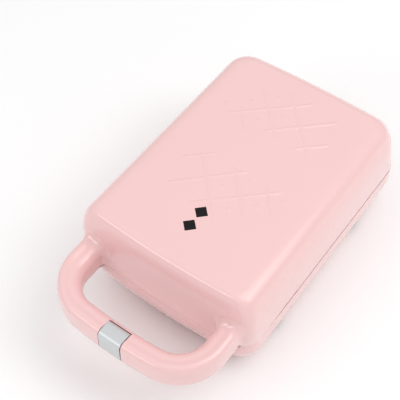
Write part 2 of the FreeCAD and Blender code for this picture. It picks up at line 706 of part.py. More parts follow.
def heater(name, words, level):
    """A tube heater bent into a U, with a thin terminal at each end."""
    piece = Piece(words)
    back, turn = "middle_y + plate_length / 2 - 6", "middle_y - plate_length / 2 + 14 + heater_spread"
    path = [("-heater_spread", back), ("-heater_spread", turn),
            ("0", f"{turn} - heater_spread", "heater_spread"),
            ("heater_spread", turn, "heater_spread"), ("heater_spread", back)]
    tube = ring(piece.sketch("XZ", x="-heater_spread", y=back, z=level), "heater_radius")
    piece.pipe(tube, draw(piece.sketch(z=level), path, closed=False))
    for side in FLANKS:
        pin = ring(piece.sketch("XZ", x=f"{side} * heater_spread", y=back, z=level), "1.2")
        piece.pad(pin, "9", backwards=True)
    return node(name, piece.body)


def pan(name, words, flip, level):
    """A pressed reflector pan with a flange against the heat shield ring."""
    piece = Piece(words)
    piece.turn(flip, "middle_y", level)
    width, length = ("plate_width - 2 * plate_step + 2.6", "plate_length - 2 * plate_step + 2.6")
    tray = draw(piece.sketch(), rounded(width, length, "plate_corner - 1"))
    piece.pad(tray, "pan_depth", backwards=True)
    brim = draw(piece.sketch(), rounded(f"{width} + 5.4", f"{length} + 5.4", "plate_corner + 1.7"))
    piece.pad(brim, "pan_wall", backwards=True)
    hollow = draw(piece.sketch(), rounded(
        f"{width} - 2 * pan_wall", f"{length} - 2 * pan_wall", "plate_corner - 1 - pan_wall"))
    piece.pocket(hollow, "pan_depth - pan_wall")
    for y in PLATE_SCREWS:
        piece.pocket(ring(piece.sketch(), "screw_shank + 0.1", "0", y), "pan_depth")
    drop = "deck_bottom - plate_top + plate_depth + heater_gap + heater_radius"
    for side in FLANKS:
        hole = ring(piece.sketch("XZ", y=f"({length}) / 2 - 5", z=f"-({drop})"), "2",
                    f"{side} * heater_spread")
        piece.pocket(hole, "9")
    return node(name, piece.body)


def thermostat(name, words, flip, level):
    """A bimetal disc thermostat: cap, body, two blade terminals, on the pan."""
    sign = "-1" if flip else "1"
    along = "Z" if flip else "-Z"
    blades = [box(f"{words}_blade{side}", "0.8", "6", "5", f"{side} * 4.5", "middle_y",
                  f"{level} - ({sign}) * 9.5 - 2.5") for side in (-1, 1)]
    cap = cylinder(f"{words}_cap", "8", "3", "0", "middle_y", level, along)
    can = cylinder(f"{words}_can", "6.8", "9", "0", "middle_y", level, along)
    return node(name, fuse(words, [cap, can] + blades))


def screws(name, words, spots, z, length, down=True):
    """A set of equal screws in one sub-part."""
    return node(name, group(words, [
        screw(f"{words}{count}", x, y, z, length, down) for count, (x, y) in enumerate(spots)]))


def rubber_feet():
    """Four rubber feet, each a pad with a stud in its leg."""
    feet = []
    for side in FLANKS:
        for y in ("foot_front", "foot_back"):
            tag = f"Foot{len(feet)}"
            pad = cylinder(f"{tag}_pad", "foot_radius", "foot_height", f"{side} * foot_x", y)
            stud = cylinder(f"{tag}_stud", "foot_radius / 2 - 0.1", "foot_height + 2.6",
                            f"{side} * foot_x", y)
            feet.append(fuse(tag, [pad, stud]))
    return node("rubber_feet", group("RubberFeet", feet))


def cord_bush():
    """The bush in the cord hole, with a flange outside and a rounded mouth."""
    piece = Piece("CordBush")
    profile = draw(piece.sketch("XY", y="back_y - boss_setback", z="cord_height"), [
        ("cord_bore", "-bush_length / 2"), ("bush_radius", "-bush_length / 2"),
        ("bush_radius", "0"), ("bush_radius + 2", "0"), ("bush_radius + 2", "2"),
        ("bush_radius", "bush_length / 2"), ("cord_bore", "bush_length / 2")])
    piece.revolve(profile)
    return node("cord_bush", piece.body)


def terminal_block():
    """The mains terminal block on the floor, with three wire ways and three screws."""
    block = box("BlockBody", "36", "14", "11", "block_x", "back_y - block_back", "floor_top")
    ways = [cylinder(f"BlockWay{count}", "1.6", "15", f"block_x + {step} * block_pitch",
                     "back_y - block_back - 7.5", "floor_top + 4", "Y")
            for count, step in enumerate((-1, 0, 1))]
    wells = [cylinder(f"BlockWell{count}", "2.4", "5", f"block_x + {step} * block_pitch",
                      "back_y - block_back", "floor_top + 7")
             for count, step in enumerate((-1, 0, 1))]
    return node("terminal_block", cut("TerminalBlock", block, fuse("BlockHoles", ways + wells)))


def thermal_fuse():
    """The one-shot thermal fuse with its leads, under the lower pan."""
    spot = ("middle_y - fuse_place", "pan_bottom - fuse_drop", "X")
    body = cylinder("FuseBody", "2", "13", "-6.5", *spot)
    leads = cylinder("FuseLeads", "0.6", "33", "-16.5", *spot)
    return node("thermal_fuse", fuse("ThermalFuse", [body, leads]))


def fuse_clip():
    """The spring clip that holds the thermal fuse to the pan."""
    tab = box("ClipTab", "6", "12", "0.8", "0", "middle_y - fuse_place", "pan_bottom - fuse_drop - 3")
    legs = [box(f"ClipLeg{side}", "6", "0.8", "5.1", "0", f"middle_y - fuse_place + {side} * 5.6",
                "pan_bottom - fuse_drop - 3") for side in (-1, 1)]
    return node("fuse_clip", fuse("FuseClip", [tab] + legs))


def hinge_pins():
    """Two steel hinge pins, one through each hinge."""
    length = "knuckle_width + 2 * ear_width + 2 * fit"
    return node("hinge_pins", group("HingePins", [
        cylinder(f"Pin_{hand}", "hinge_pin", length, f"{x} - ({length}) / 2", "hinge_y",
                 "parting_height", "X") for hand, x in HINGES.items()]))


# ---------------------------------------------------------------- the lid

def lid_cover():
    """The lid shell: domed cover, loop handle, latch notch, windows, hinge knuckles."""
    piece = Piece("LidCover")
    piece.loft(lid_sections(piece, "0"))
    grip = draw(piece.sketch("XZ", x="-handle_arm", y="front_y + 12"), grip_section("0", "grip_bottom"))
    path = loop("front_y + 12", "handle_arm", "grip_y", "handle_bend", "handle_bow")
    piece.pipe(grip, draw(piece.sketch(z="grip_bottom"), path, closed=False))
    piece.loft(lid_sections(piece, "wall"), hollow=True)
    channel = draw(piece.sketch("XZ", x="-handle_arm", y="front_y + 12"),
                   grip_section("wall", "grip_bottom - 1"))
    piece.pipe(channel, draw(piece.sketch(z="grip_bottom"), path, closed=False), hollow=True)
    web = draw(piece.sketch(z="grip_bottom"), oblong(
        "latch_width + 2 * latch_side + 2 * web_width", "handle_width - wall", "0", "grip_y"))
    piece.pad(web, "handle_height - wall / 2")
    notch = draw(piece.sketch("YZ"), [
        ("-half_length - 1", "grip_bottom - 1"), ("notch_back", "grip_bottom - 1"),
        ("notch_back", "grip_top + 1"), ("-half_length - 1", "grip_top + 1")])
    piece.pocket(notch, "latch_width + 2 * latch_side", midplane=True)
    axle = ring(piece.sketch("YZ", y="pivot_y", z="pivot_z"), "latch_pin + 0.02")
    piece.pocket(axle, "pin_length + 0.4", midplane=True)
    for x in HINGES.values():
        knuckle(piece, x, "knuckle_width", "parting_gap / 2", "hinge_barrel",
                "hinge_setback + wall + 0.3")
    bores = ring(piece.sketch("YZ", y="hinge_y", z="parting_height"), "hinge_pin + 0.08")
    piece.pocket(bores, "2 * hinge_spread + 2 * knuckle_width", midplane=True)
    for x, y in DECK_SCREWS:
        post = draw(piece.sketch(z="lid_deck_top"), oblong("boss_side", "boss_side", x, y))
        piece.pad(post, "boss_height")
        pilot = ring(piece.sketch(z="lid_deck_top"), "screw_pilot", x, y)
        piece.pocket(pilot, "boss_height - 1", backwards=True)
    for x, y in LINER_SCREWS:
        post = ring(piece.sketch(z="liner_top"), "2.6", x, y)
        piece.pad(post, "grip_top - wall / 2 - liner_top")
        piece.pocket(ring(piece.sketch(z="liner_top"), "screw_pilot", x, y), "8", backwards=True)
    for side in FLANKS:
        post = ring(piece.sketch(z="lamp_level"), "3", f"{side} * lamp_spread", "window_middle")
        piece.pad(post, "lid_top - wall / 2 - lamp_level")
        pilot = ring(piece.sketch(z="lamp_level"), "screw_pilot", f"{side} * lamp_spread", "window_middle")
        piece.pocket(pilot, "8", backwards=True)
    for y in WINDOWS.values():
        hole = draw(piece.sketch(z="lid_top + 1"), diamond("window_side", y))
        piece.pocket(hole, "wall + 1.5")
    return node("lid_cover", piece.body)


def diamond(side, y):
    """Corners of a square that stands on one corner, on the middle line."""
    reach = f"(({side}) / sqrt(2))"
    return [("0", f"{y} - {reach}"), (reach, y), ("0", f"{y} + {reach}"), (f"-{reach}", y)]


def window(name, words, y):
    """A lamp window: a lens flush with the lid on a wider flange under the skin."""
    piece = Piece(words)
    piece.pad(draw(piece.sketch(z="lid_top - wall - 1"), diamond("window_side + 1.2", y)), "1")
    piece.pad(draw(piece.sketch(z="lid_top - wall"), diamond("window_side - 0.1", y)), "wall")
    return node(name, piece.body)


def lamp_holder():
    """The plate that carries both lamps under their windows."""
    piece = Piece("LampHolder")
    plate = draw(piece.sketch(z="lamp_level"), rounded("30", "24", "3", "0", "window_middle"))
    piece.pad(plate, "2.4", backwards=True)
    for side in FLANKS:
        hole = ring(piece.sketch(z="lamp_level"), "screw_shank + 0.1",
                    f"{side} * lamp_spread", "window_middle")
        piece.pocket(hole, "2.4")
    return node("lamp_holder", piece.body)


def lamp(name, words, y):
    """A small lamp with a domed end, standing on its holder."""
    piece = Piece(words)
    top = "(lamp_drop - 3)"
    profile = draw(piece.sketch("XZ", y=y, z="lamp_level"), [
        ("0", "0"), ("lamp_radius", "0"), ("lamp_radius", f"{top} - lamp_radius"),
        ("0", top, "lamp_radius")])
    piece.revolve(profile)
    return node(name, piece.body)


def handle_liner():
    """The two strips that close the underside of the handle, left and right of the latch."""
    halves = []
    for hand, side in (("Left", -1), ("Right", 1)):
        piece = Piece(f"HandleLiner{hand}")
        width = "handle_width - 2 * wall - fit"
        strip = draw(piece.sketch("XZ", x="-handle_arm", y="front_y + 3.4", z="liner_top"),
                     [(f"-({width}) / 2", "-2"), (f"({width}) / 2", "-2"),
                      (f"({width}) / 2", "0"), (f"-({width}) / 2", "0")])
        path = loop("front_y + 3.4", "handle_arm", "grip_y", "handle_bend", "handle_bow")
        piece.pipe(strip, draw(piece.sketch(z="liner_top"), path, closed=False))
        reach = "(latch_width / 2 + latch_side + web_width + fit)"
        other = draw(piece.sketch(z="liner_top + 1"), [
            (f"{side} * {reach}", "-half_length - 5"), (f"{side} * {reach}", "front_y + 9"),
            (f"-{side} * body_width / 2", "front_y + 9"), (f"-{side} * body_width / 2", "-half_length - 5")])
        piece.pocket(other, "6")
        for x, y in LINER_SCREWS[:2] if side < 0 else LINER_SCREWS[2:]:
            piece.pocket(ring(piece.sketch(z="liner_top + 1"), "screw_shank + 0.1", x, y), "6")
        halves.append(piece.body)
    return node("handle_liner", group("HandleLiner", halves))


def latch_clip():
    """The latch: a skin flush with the grip, a knuckle on the pin and a hook."""
    piece = Piece("LatchClip")
    face, skin = "-half_length", "(-half_length + latch_skin)"
    side = draw(piece.sketch("YZ"), [
        (face, "grip_bottom"), (skin, "grip_bottom"), (skin, "hook_bottom"), ("hook_tip", "hook_bottom"),
        ("hook_tip", "hook_bottom + 1.2"), ("hook_tip - 1", "hook_top"), (skin, "hook_top"),
        (skin, "pivot_z - latch_pivot - 1"), (f"{skin} + 1", "pivot_z - latch_pivot"),
        ("pivot_y", "pivot_z - latch_pivot"), ("pivot_y + latch_pivot", "pivot_z", "latch_pivot"),
        ("pivot_y", "grip_top", "latch_pivot"), (f"{face} + handle_round", "grip_top"),
        (face, "grip_top - handle_round", "handle_round")])
    piece.pad(side, "latch_width", midplane=True)
    axle = ring(piece.sketch("YZ", y="pivot_y", z="pivot_z"), "latch_pin + 0.06")
    piece.pocket(axle, "latch_width + 2", midplane=True)
    well = draw(piece.sketch("YZ", y="pivot_y", z="pivot_z"), [
        ("-well_radius", "-latch_pivot - 1"), ("well_radius", "-latch_pivot - 1"),
        ("well_radius", "0"), ("0", "well_radius", "well_radius"), ("-well_radius", "0", "well_radius")])
    piece.pocket(well, "well_width", midplane=True)
    return node("latch_clip", piece.body)


def latch_spring():
    """The torsion spring round the latch pin."""
    coil = doc.addObject("Part::Helix", "SpringCoil")
    for size, text in (("Radius", "spring_radius"), ("Pitch", "spring_pitch"),
                       ("Height", "spring_pitch * spring_turns")):
        coil.setExpression(size, bound(text))
    coil.SegmentLength = 1
    wire = doc.addObject("Part::Circle", "SpringWire")
    wire.setExpression("Radius", bound("spring_wire"))
    place(wire, "spring_radius", turn=((1, 0, 0), 90))
    sweep = doc.addObject("Part::Sweep", "SpringSweep")
    sweep.Sections, sweep.Spine = [wire], (coil, [])
    sweep.Solid = sweep.Frenet = True
    thing = place(group("LatchSpring", [sweep]), "-spring_pitch * spring_turns / 2", "pivot_y",
                  "pivot_z", ((0, 1, 0), 90))
    return node("latch_spring", thing)


WINDOWS = {"power": "front_y + window_front", "ready": "front_y + window_front + window_pitch"}
LINER_SCREWS = [("-handle_arm", "front_y - 10"), ("-26", "grip_y + 0.9"),
                ("26", "grip_y + 0.9"), ("handle_arm", "front_y - 10")]


def build():
    """Make every sub-part."""
    base_housing()
    catch_tongue()
    screws("catch_screws", "CatchScrew", [(f"{side} * catch_spread", "rail_y") for side in FLANKS],
           "rail_top - rail_depth", "12", down=False)
    rubber_feet()
    cord_bush()
    terminal_block()
    thermal_fuse()
    fuse_clip()
    hinge_pins()
    heat_deck("lower_deck", "LowerDeck", False, "base_inset + wall + fit")
    waffle_plate("lower_plate", "LowerPlate", False)
    heater("lower_heater", "LowerHeater", "lower_heater_level")
    pan("lower_reflector", "LowerPan", False, "deck_bottom")
    thermostat("lower_thermostat", "LowerThermostat", False, "pan_bottom")
    screws("lower_deck_screws", "LowerDeckScrew", DECK_SCREWS, "deck_top - screw_rise - 0.1", "11")
    plate_spots = [("0", f"middle_y + {y}") for y in PLATE_SCREWS]
    screws("lower_plate_screws", "LowerPlateScrew", plate_spots, "pan_bottom", "6", down=False)
    lid_cover()
    handle_liner()
    screws("liner_screws", "LinerScrew", LINER_SCREWS, "liner_top - 2", "8", down=False)
    heat_deck("upper_deck", "UpperDeck", True, "wall + fit")
    waffle_plate("upper_plate", "UpperPlate", True)
    heater("upper_heater", "UpperHeater", "upper_heater_level")
    pan("upper_reflector", "UpperPan", True, "lid_deck_top")
    thermostat("upper_thermostat", "UpperThermostat", True, "lid_pan_top")
    screws("upper_deck_screws", "UpperDeckScrew", DECK_SCREWS, "lid_deck_bottom + screw_rise + 0.1",
           "10", down=False)
    screws("upper_plate_screws", "UpperPlateScrew", plate_spots, "lid_pan_top", "6")
    lamp_holder()
    lamp_spots = [(f"{side} * lamp_spread", "window_middle") for side in FLANKS]
    screws("lamp_screws", "LampScrew", lamp_spots, "lamp_level - 2.4", "8", down=False)
    for word, y in WINDOWS.items():
        window(f"{word}_window", f"{word.title()}Window", y)
        lamp(f"{word}_lamp", f"{word.title()}Lamp", y)
    node("latch_pin", cylinder("LatchPin", "latch_pin", "pin_length", "-pin_length / 2", "pivot_y",
                               "pivot_z", "X"))
    latch_clip()
    latch_spring()


def check():
    """Stop when an object failed or a sub-part is not a sound solid."""
    doc.recompute()
    for thing in doc.Objects:
        if "Invalid" in thing.State or "Error" in thing.State:
            raise RuntimeError(f"{thing.Label} failed: {thing.State}")
    for name, thing in NODES.items():
        shape = thing.Shape
        if shape.isNull() or not shape.isValid() or not shape.Solids:
            raise RuntimeError(f"{name} is not a sound solid")


def export():
    """Write each sub-part to its own file."""
    os.makedirs("parts", exist_ok=True)
    for name, thing in NODES.items():
        thing.Shape.exportStep(f"parts/{name}.step")


if __name__ == "__main__":
    build()
    check()
    export()
    for name, thing in NODES.items():
        bounds = thing.Shape.BoundBox
        print(f"{name:20s} {len(thing.Shape.Solids)} {thing.Shape.Volume:10.1f}",
              *(f"{side:8.2f}" for side in (bounds.XMin, bounds.XMax, bounds.YMin, bounds.YMax,
                                            bounds.ZMin, bounds.ZMax)))
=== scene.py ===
"""Waffle maker with a domed lid, a loop handle and a silver latch, dressed on its frame.

Each sub-assembly is a class that works its surfaces out in millimetres with numpy and
hands them over as pieces that ride on the bodies of the frame: base, lid and latch.
The frame is +Z up, +X to the right, the handle towards -Y and the hinge towards +Y.
"""

import logging
import math
from dataclasses import dataclass, field
from enum import Enum
from typing import Callable

import bmesh
import bpy
import numpy as np
from mathutils import Matrix, Vector


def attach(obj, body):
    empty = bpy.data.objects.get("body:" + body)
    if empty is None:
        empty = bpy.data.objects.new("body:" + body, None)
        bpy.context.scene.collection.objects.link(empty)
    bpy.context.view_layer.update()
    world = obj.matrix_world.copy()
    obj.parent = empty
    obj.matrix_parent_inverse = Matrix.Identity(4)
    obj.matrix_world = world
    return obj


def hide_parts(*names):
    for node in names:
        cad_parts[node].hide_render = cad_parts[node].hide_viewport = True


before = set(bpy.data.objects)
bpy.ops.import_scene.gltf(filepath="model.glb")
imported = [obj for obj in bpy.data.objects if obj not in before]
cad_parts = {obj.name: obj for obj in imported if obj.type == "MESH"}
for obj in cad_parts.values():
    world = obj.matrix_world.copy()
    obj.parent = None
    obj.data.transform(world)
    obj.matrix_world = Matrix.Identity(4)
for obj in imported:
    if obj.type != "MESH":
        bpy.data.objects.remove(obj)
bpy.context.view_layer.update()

LOG = logging.getLogger("waffle_maker")
MM = 0.001
Array = np.ndarray


class Body(Enum):
    """The bodies that a piece can ride on."""

    BASE = "base"
    LID = "lid"
    LATCH = "latch"


class Grain(Enum):
    """How the surface of a finish is broken up."""

    MOULDED = "moulded"
    SPARK = "spark"
    BRUSHED = "brushed"
    SPECKLED = "speckled"
    CAST = "cast"


# ---------------------------------------------------------------- finishes


@dataclass(frozen=True)
class Finish:
    """One finish: the colour, gloss and grain of a material of the record.

    Colours are linear. The second colour is mixed in over soft patches, and the
    grain size is in millimetres.
    """

    slot: str
    colour: tuple[float, float, float]
    second: tuple[float, float, float]
    roughness: float
    rough_range: float = 0.06
    metallic: float = 0.0
    coat: float = 0.0
    coat_roughness: float = 0.1
    specular: float = 0.5
    transmission: float = 0.0
    grain: Grain = Grain.MOULDED
    grain_size: float = 1.2
    relief: float = 0.02
    patch_size: float = 40.0
    stretch: tuple[float, float, float] = (1.0, 1.0, 1.0)

    def material(self) -> bpy.types.Material:
        """The material of this finish, made the first time that it is asked for.

        Returns:
            A node material whose colour, roughness and relief come from noise on
            object coordinates.
        """
        name = f"{self.slot}_finish"
        if name in bpy.data.materials:
            return bpy.data.materials[name]
        made = bpy.data.materials.new(name)
        made.use_nodes = True
        nodes, links = made.node_tree.nodes, made.node_tree.links
        shader = nodes["Principled BSDF"]
        for socket, amount in (("Metallic", self.metallic), ("Coat Weight", self.coat),
                               ("Coat Roughness", self.coat_roughness),
                               ("Specular IOR Level", self.specular),
                               ("Transmission Weight", self.transmission)):
            shader.inputs[socket].default_value = amount
        place = nodes.new("ShaderNodeTexCoord")
        turn = nodes.new("ShaderNodeMapping")
        turn.inputs["Scale"].default_value = self.stretch
        links.new(place.outputs["Object"], turn.inputs["Vector"])

        patches = self._noise(nodes, links, turn, 1.0 / (self.patch_size * MM), 3.0)
        tint = nodes.new("ShaderNodeMix")
        tint.data_type = "RGBA"
        tint.inputs["A"].default_value = (*self.colour, 1.0)
        tint.inputs["B"].default_value = (*self.second, 1.0)
        links.new(patches, tint.inputs["Factor"])
        links.new(tint.outputs["Result"], shader.inputs["Base Color"])

        fine = self._grain(nodes, links, turn)
        gloss = nodes.new("ShaderNodeMapRange")
        gloss.inputs["To Min"].default_value = max(self.roughness - self.rough_range, 0.02)
        gloss.inputs["To Max"].default_value = self.roughness + self.rough_range
        links.new(fine, gloss.inputs["Value"])
        links.new(gloss.outputs["Result"], shader.inputs["Roughness"])
        bump = nodes.new("ShaderNodeBump")
        bump.inputs["Strength"].default_value = 0.35
        bump.inputs["Distance"].default_value = self.relief * MM
        links.new(fine, bump.inputs["Height"])
        links.new(bump.outputs["Normal"], shader.inputs["Normal"])
        return made

    def _noise(self, nodes: bpy.types.Nodes, links: bpy.types.NodeLinks, turn: bpy.types.Node,
               scale: float, detail: float) -> bpy.types.NodeSocket:
        """Adds a noise texture.

        Args:
            nodes: The nodes of the material.
            links: Its links.
            turn: The mapping node that gives the place.
            scale: Scale of the noise, per metre.
            detail: How many finer layers it has.

        Returns:
            The noise's value output.
        """
        noise = nodes.new("ShaderNodeTexNoise")
        noise.inputs["Scale"].default_value = scale
        noise.inputs["Detail"].default_value = detail
        links.new(turn.outputs["Vector"], noise.inputs["Vector"])
        return noise.outputs["Fac"]

    def _grain(self, nodes: bpy.types.Nodes, links: bpy.types.NodeLinks,
               turn: bpy.types.Node) -> bpy.types.NodeSocket:
        """The value that drives gloss and relief, laid out for this finish's grain.

        Args:
            nodes: The nodes of the material.
            links: Its links.
            turn: The mapping node that gives the place.

        Returns:
            The output socket of the last node of the grain.
        """
        scale = 1.0 / (self.grain_size * MM)
        if self.grain is Grain.BRUSHED:
            long = nodes.new("ShaderNodeMapping")
            long.inputs["Scale"].default_value = (0.06, 1.0, 1.0)
            links.new(turn.outputs["Vector"], long.inputs["Vector"])
            return self._noise(nodes, links, long, scale, 6.0)
        if self.grain is Grain.SPECKLED:
            cells = nodes.new("ShaderNodeTexVoronoi")
            cells.inputs["Scale"].default_value = scale
            links.new(turn.outputs["Vector"], cells.inputs["Vector"])
            dots = nodes.new("ShaderNodeMapRange")
            dots.inputs["From Min"].default_value = 0.08
            dots.inputs["From Max"].default_value = 0.4
            links.new(cells.outputs["Distance"], dots.inputs["Value"])
            return dots.outputs["Result"]
        if self.grain is Grain.SPARK:
            return self._noise(nodes, links, turn, scale, 9.0)
        if self.grain is Grain.CAST:
            return self._noise(nodes, links, turn, scale, 5.0)
        return self._noise(nodes, links, turn, scale, 2.0)


SHELL = Finish("shell_gloss", (0.880, 0.580, 0.572), (0.865, 0.562, 0.554), 0.20, 0.02, coat=0.45,
               coat_roughness=0.12, grain_size=2.4, relief=0.012, patch_size=60)
LATCH = Finish("latch_satin", (0.66, 0.68, 0.69), (0.61, 0.63, 0.64), 0.42, 0.05, metallic=0.5,
               grain=Grain.BRUSHED, grain_size=0.35, relief=0.006)
DECK = Finish("deck_black", (0.020, 0.019, 0.020), (0.030, 0.028, 0.029), 0.55, 0.12,
              grain=Grain.SPARK, grain_size=0.5, relief=0.05)
COATING = Finish("plate_coating", (0.030, 0.028, 0.028), (0.045, 0.042, 0.041), 0.38, 0.12,
                 specular=0.6, grain=Grain.SPECKLED, grain_size=0.8, relief=0.03)
TUBE = Finish("tube_steel", (0.28, 0.24, 0.21), (0.19, 0.16, 0.17), 0.34, 0.08, metallic=0.9,
              grain=Grain.BRUSHED, grain_size=0.5, relief=0.01, patch_size=14)
PAN = Finish("pan_steel", (0.60, 0.61, 0.63), (0.50, 0.51, 0.53), 0.26, 0.08, metallic=1.0,
             grain=Grain.BRUSHED, grain_size=0.6, relief=0.01)
ZINC = Finish("fastener_steel", (0.52, 0.53, 0.55), (0.42, 0.42, 0.40), 0.3, 0.08, metallic=1.0,
              grain=Grain.CAST, grain_size=0.5, relief=0.01, patch_size=3)
PIN = Finish("pin_steel", (0.58, 0.58, 0.60), (0.48, 0.48, 0.50), 0.22, 0.06, metallic=1.0,
             grain=Grain.BRUSHED, grain_size=0.4, relief=0.006, patch_size=6)
SPRING = Finish("spring_steel", (0.50, 0.50, 0.52), (0.40, 0.40, 0.42), 0.25, 0.06, metallic=1.0,
                grain=Grain.BRUSHED, grain_size=0.2, relief=0.004, patch_size=2)
FOOT = Finish("foot_rubber", (0.085, 0.085, 0.090), (0.065, 0.065, 0.070), 0.75, 0.1, specular=0.3,
              grain=Grain.SPARK, grain_size=0.6, relief=0.05, patch_size=8)
BUSH = Finish("bush_rubber", (0.72, 0.67, 0.66), (0.66, 0.61, 0.60), 0.6, 0.08, specular=0.35,
              grain=Grain.SPARK, grain_size=0.7, relief=0.03, patch_size=6)
LENS = Finish("lens_black", (0.006, 0.005, 0.005), (0.009, 0.008, 0.008), 0.16, 0.03, specular=0.2,
              grain_size=1.5, relief=0.004, patch_size=5)
LAMP = Finish("lamp_glass", (0.90, 0.42, 0.22), (0.80, 0.30, 0.14), 0.08, 0.03, transmission=0.7,
              grain_size=1.0, relief=0.004, patch_size=3)
CERAMIC = Finish("ceramic", (0.78, 0.77, 0.71), (0.70, 0.68, 0.62), 0.5, 0.1, grain=Grain.SPECKLED,
                 grain_size=0.7, relief=0.02, patch_size=6)
NYLON = Finish("holder_plastic", (0.66, 0.64, 0.59), (0.60, 0.58, 0.53), 0.45, 0.08,
               grain=Grain.SPARK, grain_size=0.6, relief=0.02, patch_size=9)


# ---------------------------------------------------------------- skins


class Skin:
    """Points and faces gathered from grids, rows and caps before they become one mesh."""

    def __init__(self) -> None:
        """Starts with nothing in it."""
        self.points: list[Array] = []
        self.quads: list[Array] = []
        self.tris: list[Array] = []
        self.total = 0

    def add(self, points: Array) -> Array:
        """Takes points in.

        Args:
            points: An array of points in millimetres whose last axis is x, y, z.

        Returns:
            The points' numbers, in the same layout without the last axis.
        """
        count = int(np.prod(points.shape[:-1]))
        numbers = np.arange(self.total, self.total + count).reshape(points.shape[:-1])
        self.points.append(points.reshape(-1, 3).astype(float))
        self.total += count
        return numbers

    def weave(self, numbers: Array, rows_meet: bool = False, columns_meet: bool = False) -> None:
        """Joins a grid of numbered points with four-sided faces.

        Args:
            numbers: Point numbers as rows and columns.
            rows_meet: Whether the last row joins the first.
            columns_meet: Whether the last column joins the first.
        """
        if rows_meet:
            numbers = np.vstack([numbers, numbers[:1]])
        if columns_meet:
            numbers = np.hstack([numbers, numbers[:, :1]])
        self.quads.append(np.stack([numbers[:-1, :-1], numbers[:-1, 1:], numbers[1:, 1:],
                                    numbers[1:, :-1]], -1).reshape(-1, 4))

    def cap(self, ring: Array, peak: Array) -> None:
        """Closes a ring of numbered points with a fan round one new point.

        Args:
            ring: The point numbers in order round the ring.
            peak: Where the new point lies.
        """
        middle = self.add(np.asarray(peak, float).reshape(1, 3))[0]
        after = np.roll(ring, -1)
        self.tris.append(np.stack([ring, after, np.full_like(ring, middle)], -1))

    def tube(self, rings: Array) -> None:
        """Joins closed rings into a tube and caps both ends at their middles."""
        numbers = self.add(rings)
        self.weave(numbers, columns_meet=True)
        self.cap(numbers[0], rings[0].mean(0))
        self.cap(numbers[-1], rings[-1].mean(0))

    def mirrored(self) -> "Skin":
        """The same skin with its reflection across the middle plane added."""
        both = Skin()
        both.points = self.points + [points * (-1, 1, 1) for points in self.points]
        both.quads = self.quads + [faces[:, ::-1] + self.total for faces in self.quads]
        both.tris = self.tris + [faces[:, ::-1] + self.total for faces in self.tris]
        both.total = 2 * self.total
        return both

    def take(self, other: "Skin") -> None:
        """Adds all of another skin."""
        self.points += other.points
        self.quads += [faces + self.total for faces in other.quads]
        self.tris += [faces + self.total for faces in other.tris]
        self.total += other.total

    def mesh(self, name: str, sharp: float) -> bpy.types.Mesh:
        """Makes the mesh: welded, faces outwards, smooth but for its sharp edges.

        Args:
            name: Name of the mesh.
            sharp: Angle in degrees from which an edge is left sharp.

        Returns:
            The finished mesh in metres.
        """
        spots = np.concatenate(self.points) * MM
        quads = np.concatenate(self.quads) if self.quads else np.zeros((0, 4), int)
        tris = np.concatenate(self.tris) if self.tris else np.zeros((0, 3), int)
        mesh = bpy.data.meshes.new(name)
        mesh.vertices.add(len(spots))
        mesh.vertices.foreach_set("co", spots.ravel())
        corners = np.concatenate([quads.ravel(), tris.ravel()]).astype(np.int32)
        sizes = np.concatenate([np.full(len(quads), 4), np.full(len(tris), 3)])
        mesh.loops.add(len(corners))
        mesh.loops.foreach_set("vertex_index", corners)
        mesh.polygons.add(len(sizes))
        mesh.polygons.foreach_set("loop_start", np.concatenate([[0], np.cumsum(sizes)[:-1]]))
        mesh.update(calc_edges=True)
        mesh.validate()
        work = bmesh.new()
        work.from_mesh(mesh)
        bmesh.ops.remove_doubles(work, verts=work.verts, dist=2e-6)
        bmesh.ops.dissolve_degenerate(work, edges=work.edges, dist=1e-6)
        bmesh.ops.recalc_face_normals(work, faces=work.faces)
        limit = math.radians(sharp)
        for edge in work.edges:
            edge.smooth = edge.calc_face_angle(math.pi) < limit
        work.to_mesh(mesh)
        work.free()
        mesh.polygons.foreach_set("use_smooth", np.ones(len(mesh.polygons), bool))
        return mesh


def settle(name: str, skin: Skin, finish: Finish, body: Body, nodes: tuple[str, ...] = (),
           sharp: float = 40.0, bevel: float = 0.0) -> bpy.types.Object:
    """Makes a skin into a piece that rides on a body of the frame.

    Args:
        name: Name of the piece.
        skin: Its points and faces.
        finish: What it is made of.
        body: The body it moves with.
        nodes: Nodes of the frame that it stands for.
        sharp: Angle in degrees from which an edge is left sharp.
        bevel: Width in millimetres of the round on its sharp edges, or nothing.

    Returns:
        The piece.
    """
    piece = bpy.data.objects.new(name, skin.mesh(name, sharp))
    bpy.context.scene.collection.objects.link(piece)
    if bevel:
        rounding = piece.modifiers.new("edge_round", "BEVEL")
        rounding.width, rounding.segments = bevel * MM, 3
        rounding.limit_method, rounding.angle_limit = "ANGLE", math.radians(sharp)
        rounding.harden_normals = True
    piece.data.materials.append(finish.material())
    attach(piece, body.value)
    if nodes:
        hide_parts(*nodes)
    LOG.info("%s: %d faces on %s", name, len(piece.data.polygons), body.value)
    return piece


def ease(low: float, high: float, at: Array) -> Array:
    """A smooth step from 0 at low to 1 at high: 3 t^2 - 2 t^3 of the share t."""
    share = np.clip((at - low) / (high - low), 0.0, 1.0)
    return share * share * (3 - 2 * share)


def turned(profile: Array, centre: tuple[float, float, float], axis: str = "z",
           steps: int = 48) -> Array:
    """Turns a profile about an axis.

    A point (r, h) of the profile goes to h along the axis and r cos t, r sin t
    across it, for t round the full circle.

    Args:
        profile: Radii and heights, one row a point.
        centre: Where the axis starts.
        axis: "x", "y" or "z".
        steps: Points round the circle.

    Returns:
        Rings of points, one a profile point.
    """
    angle = np.linspace(0, 2 * math.pi, steps, endpoint=False)
    across = profile[:, :1] * np.cos(angle)
    over = profile[:, :1] * np.sin(angle)
    along = np.repeat(profile[:, 1:], steps, 1)
    order = {"z": (across, over, along), "y": (over, along, across), "x": (along, across, over)}
    return np.stack(order[axis], -1) + np.asarray(centre)


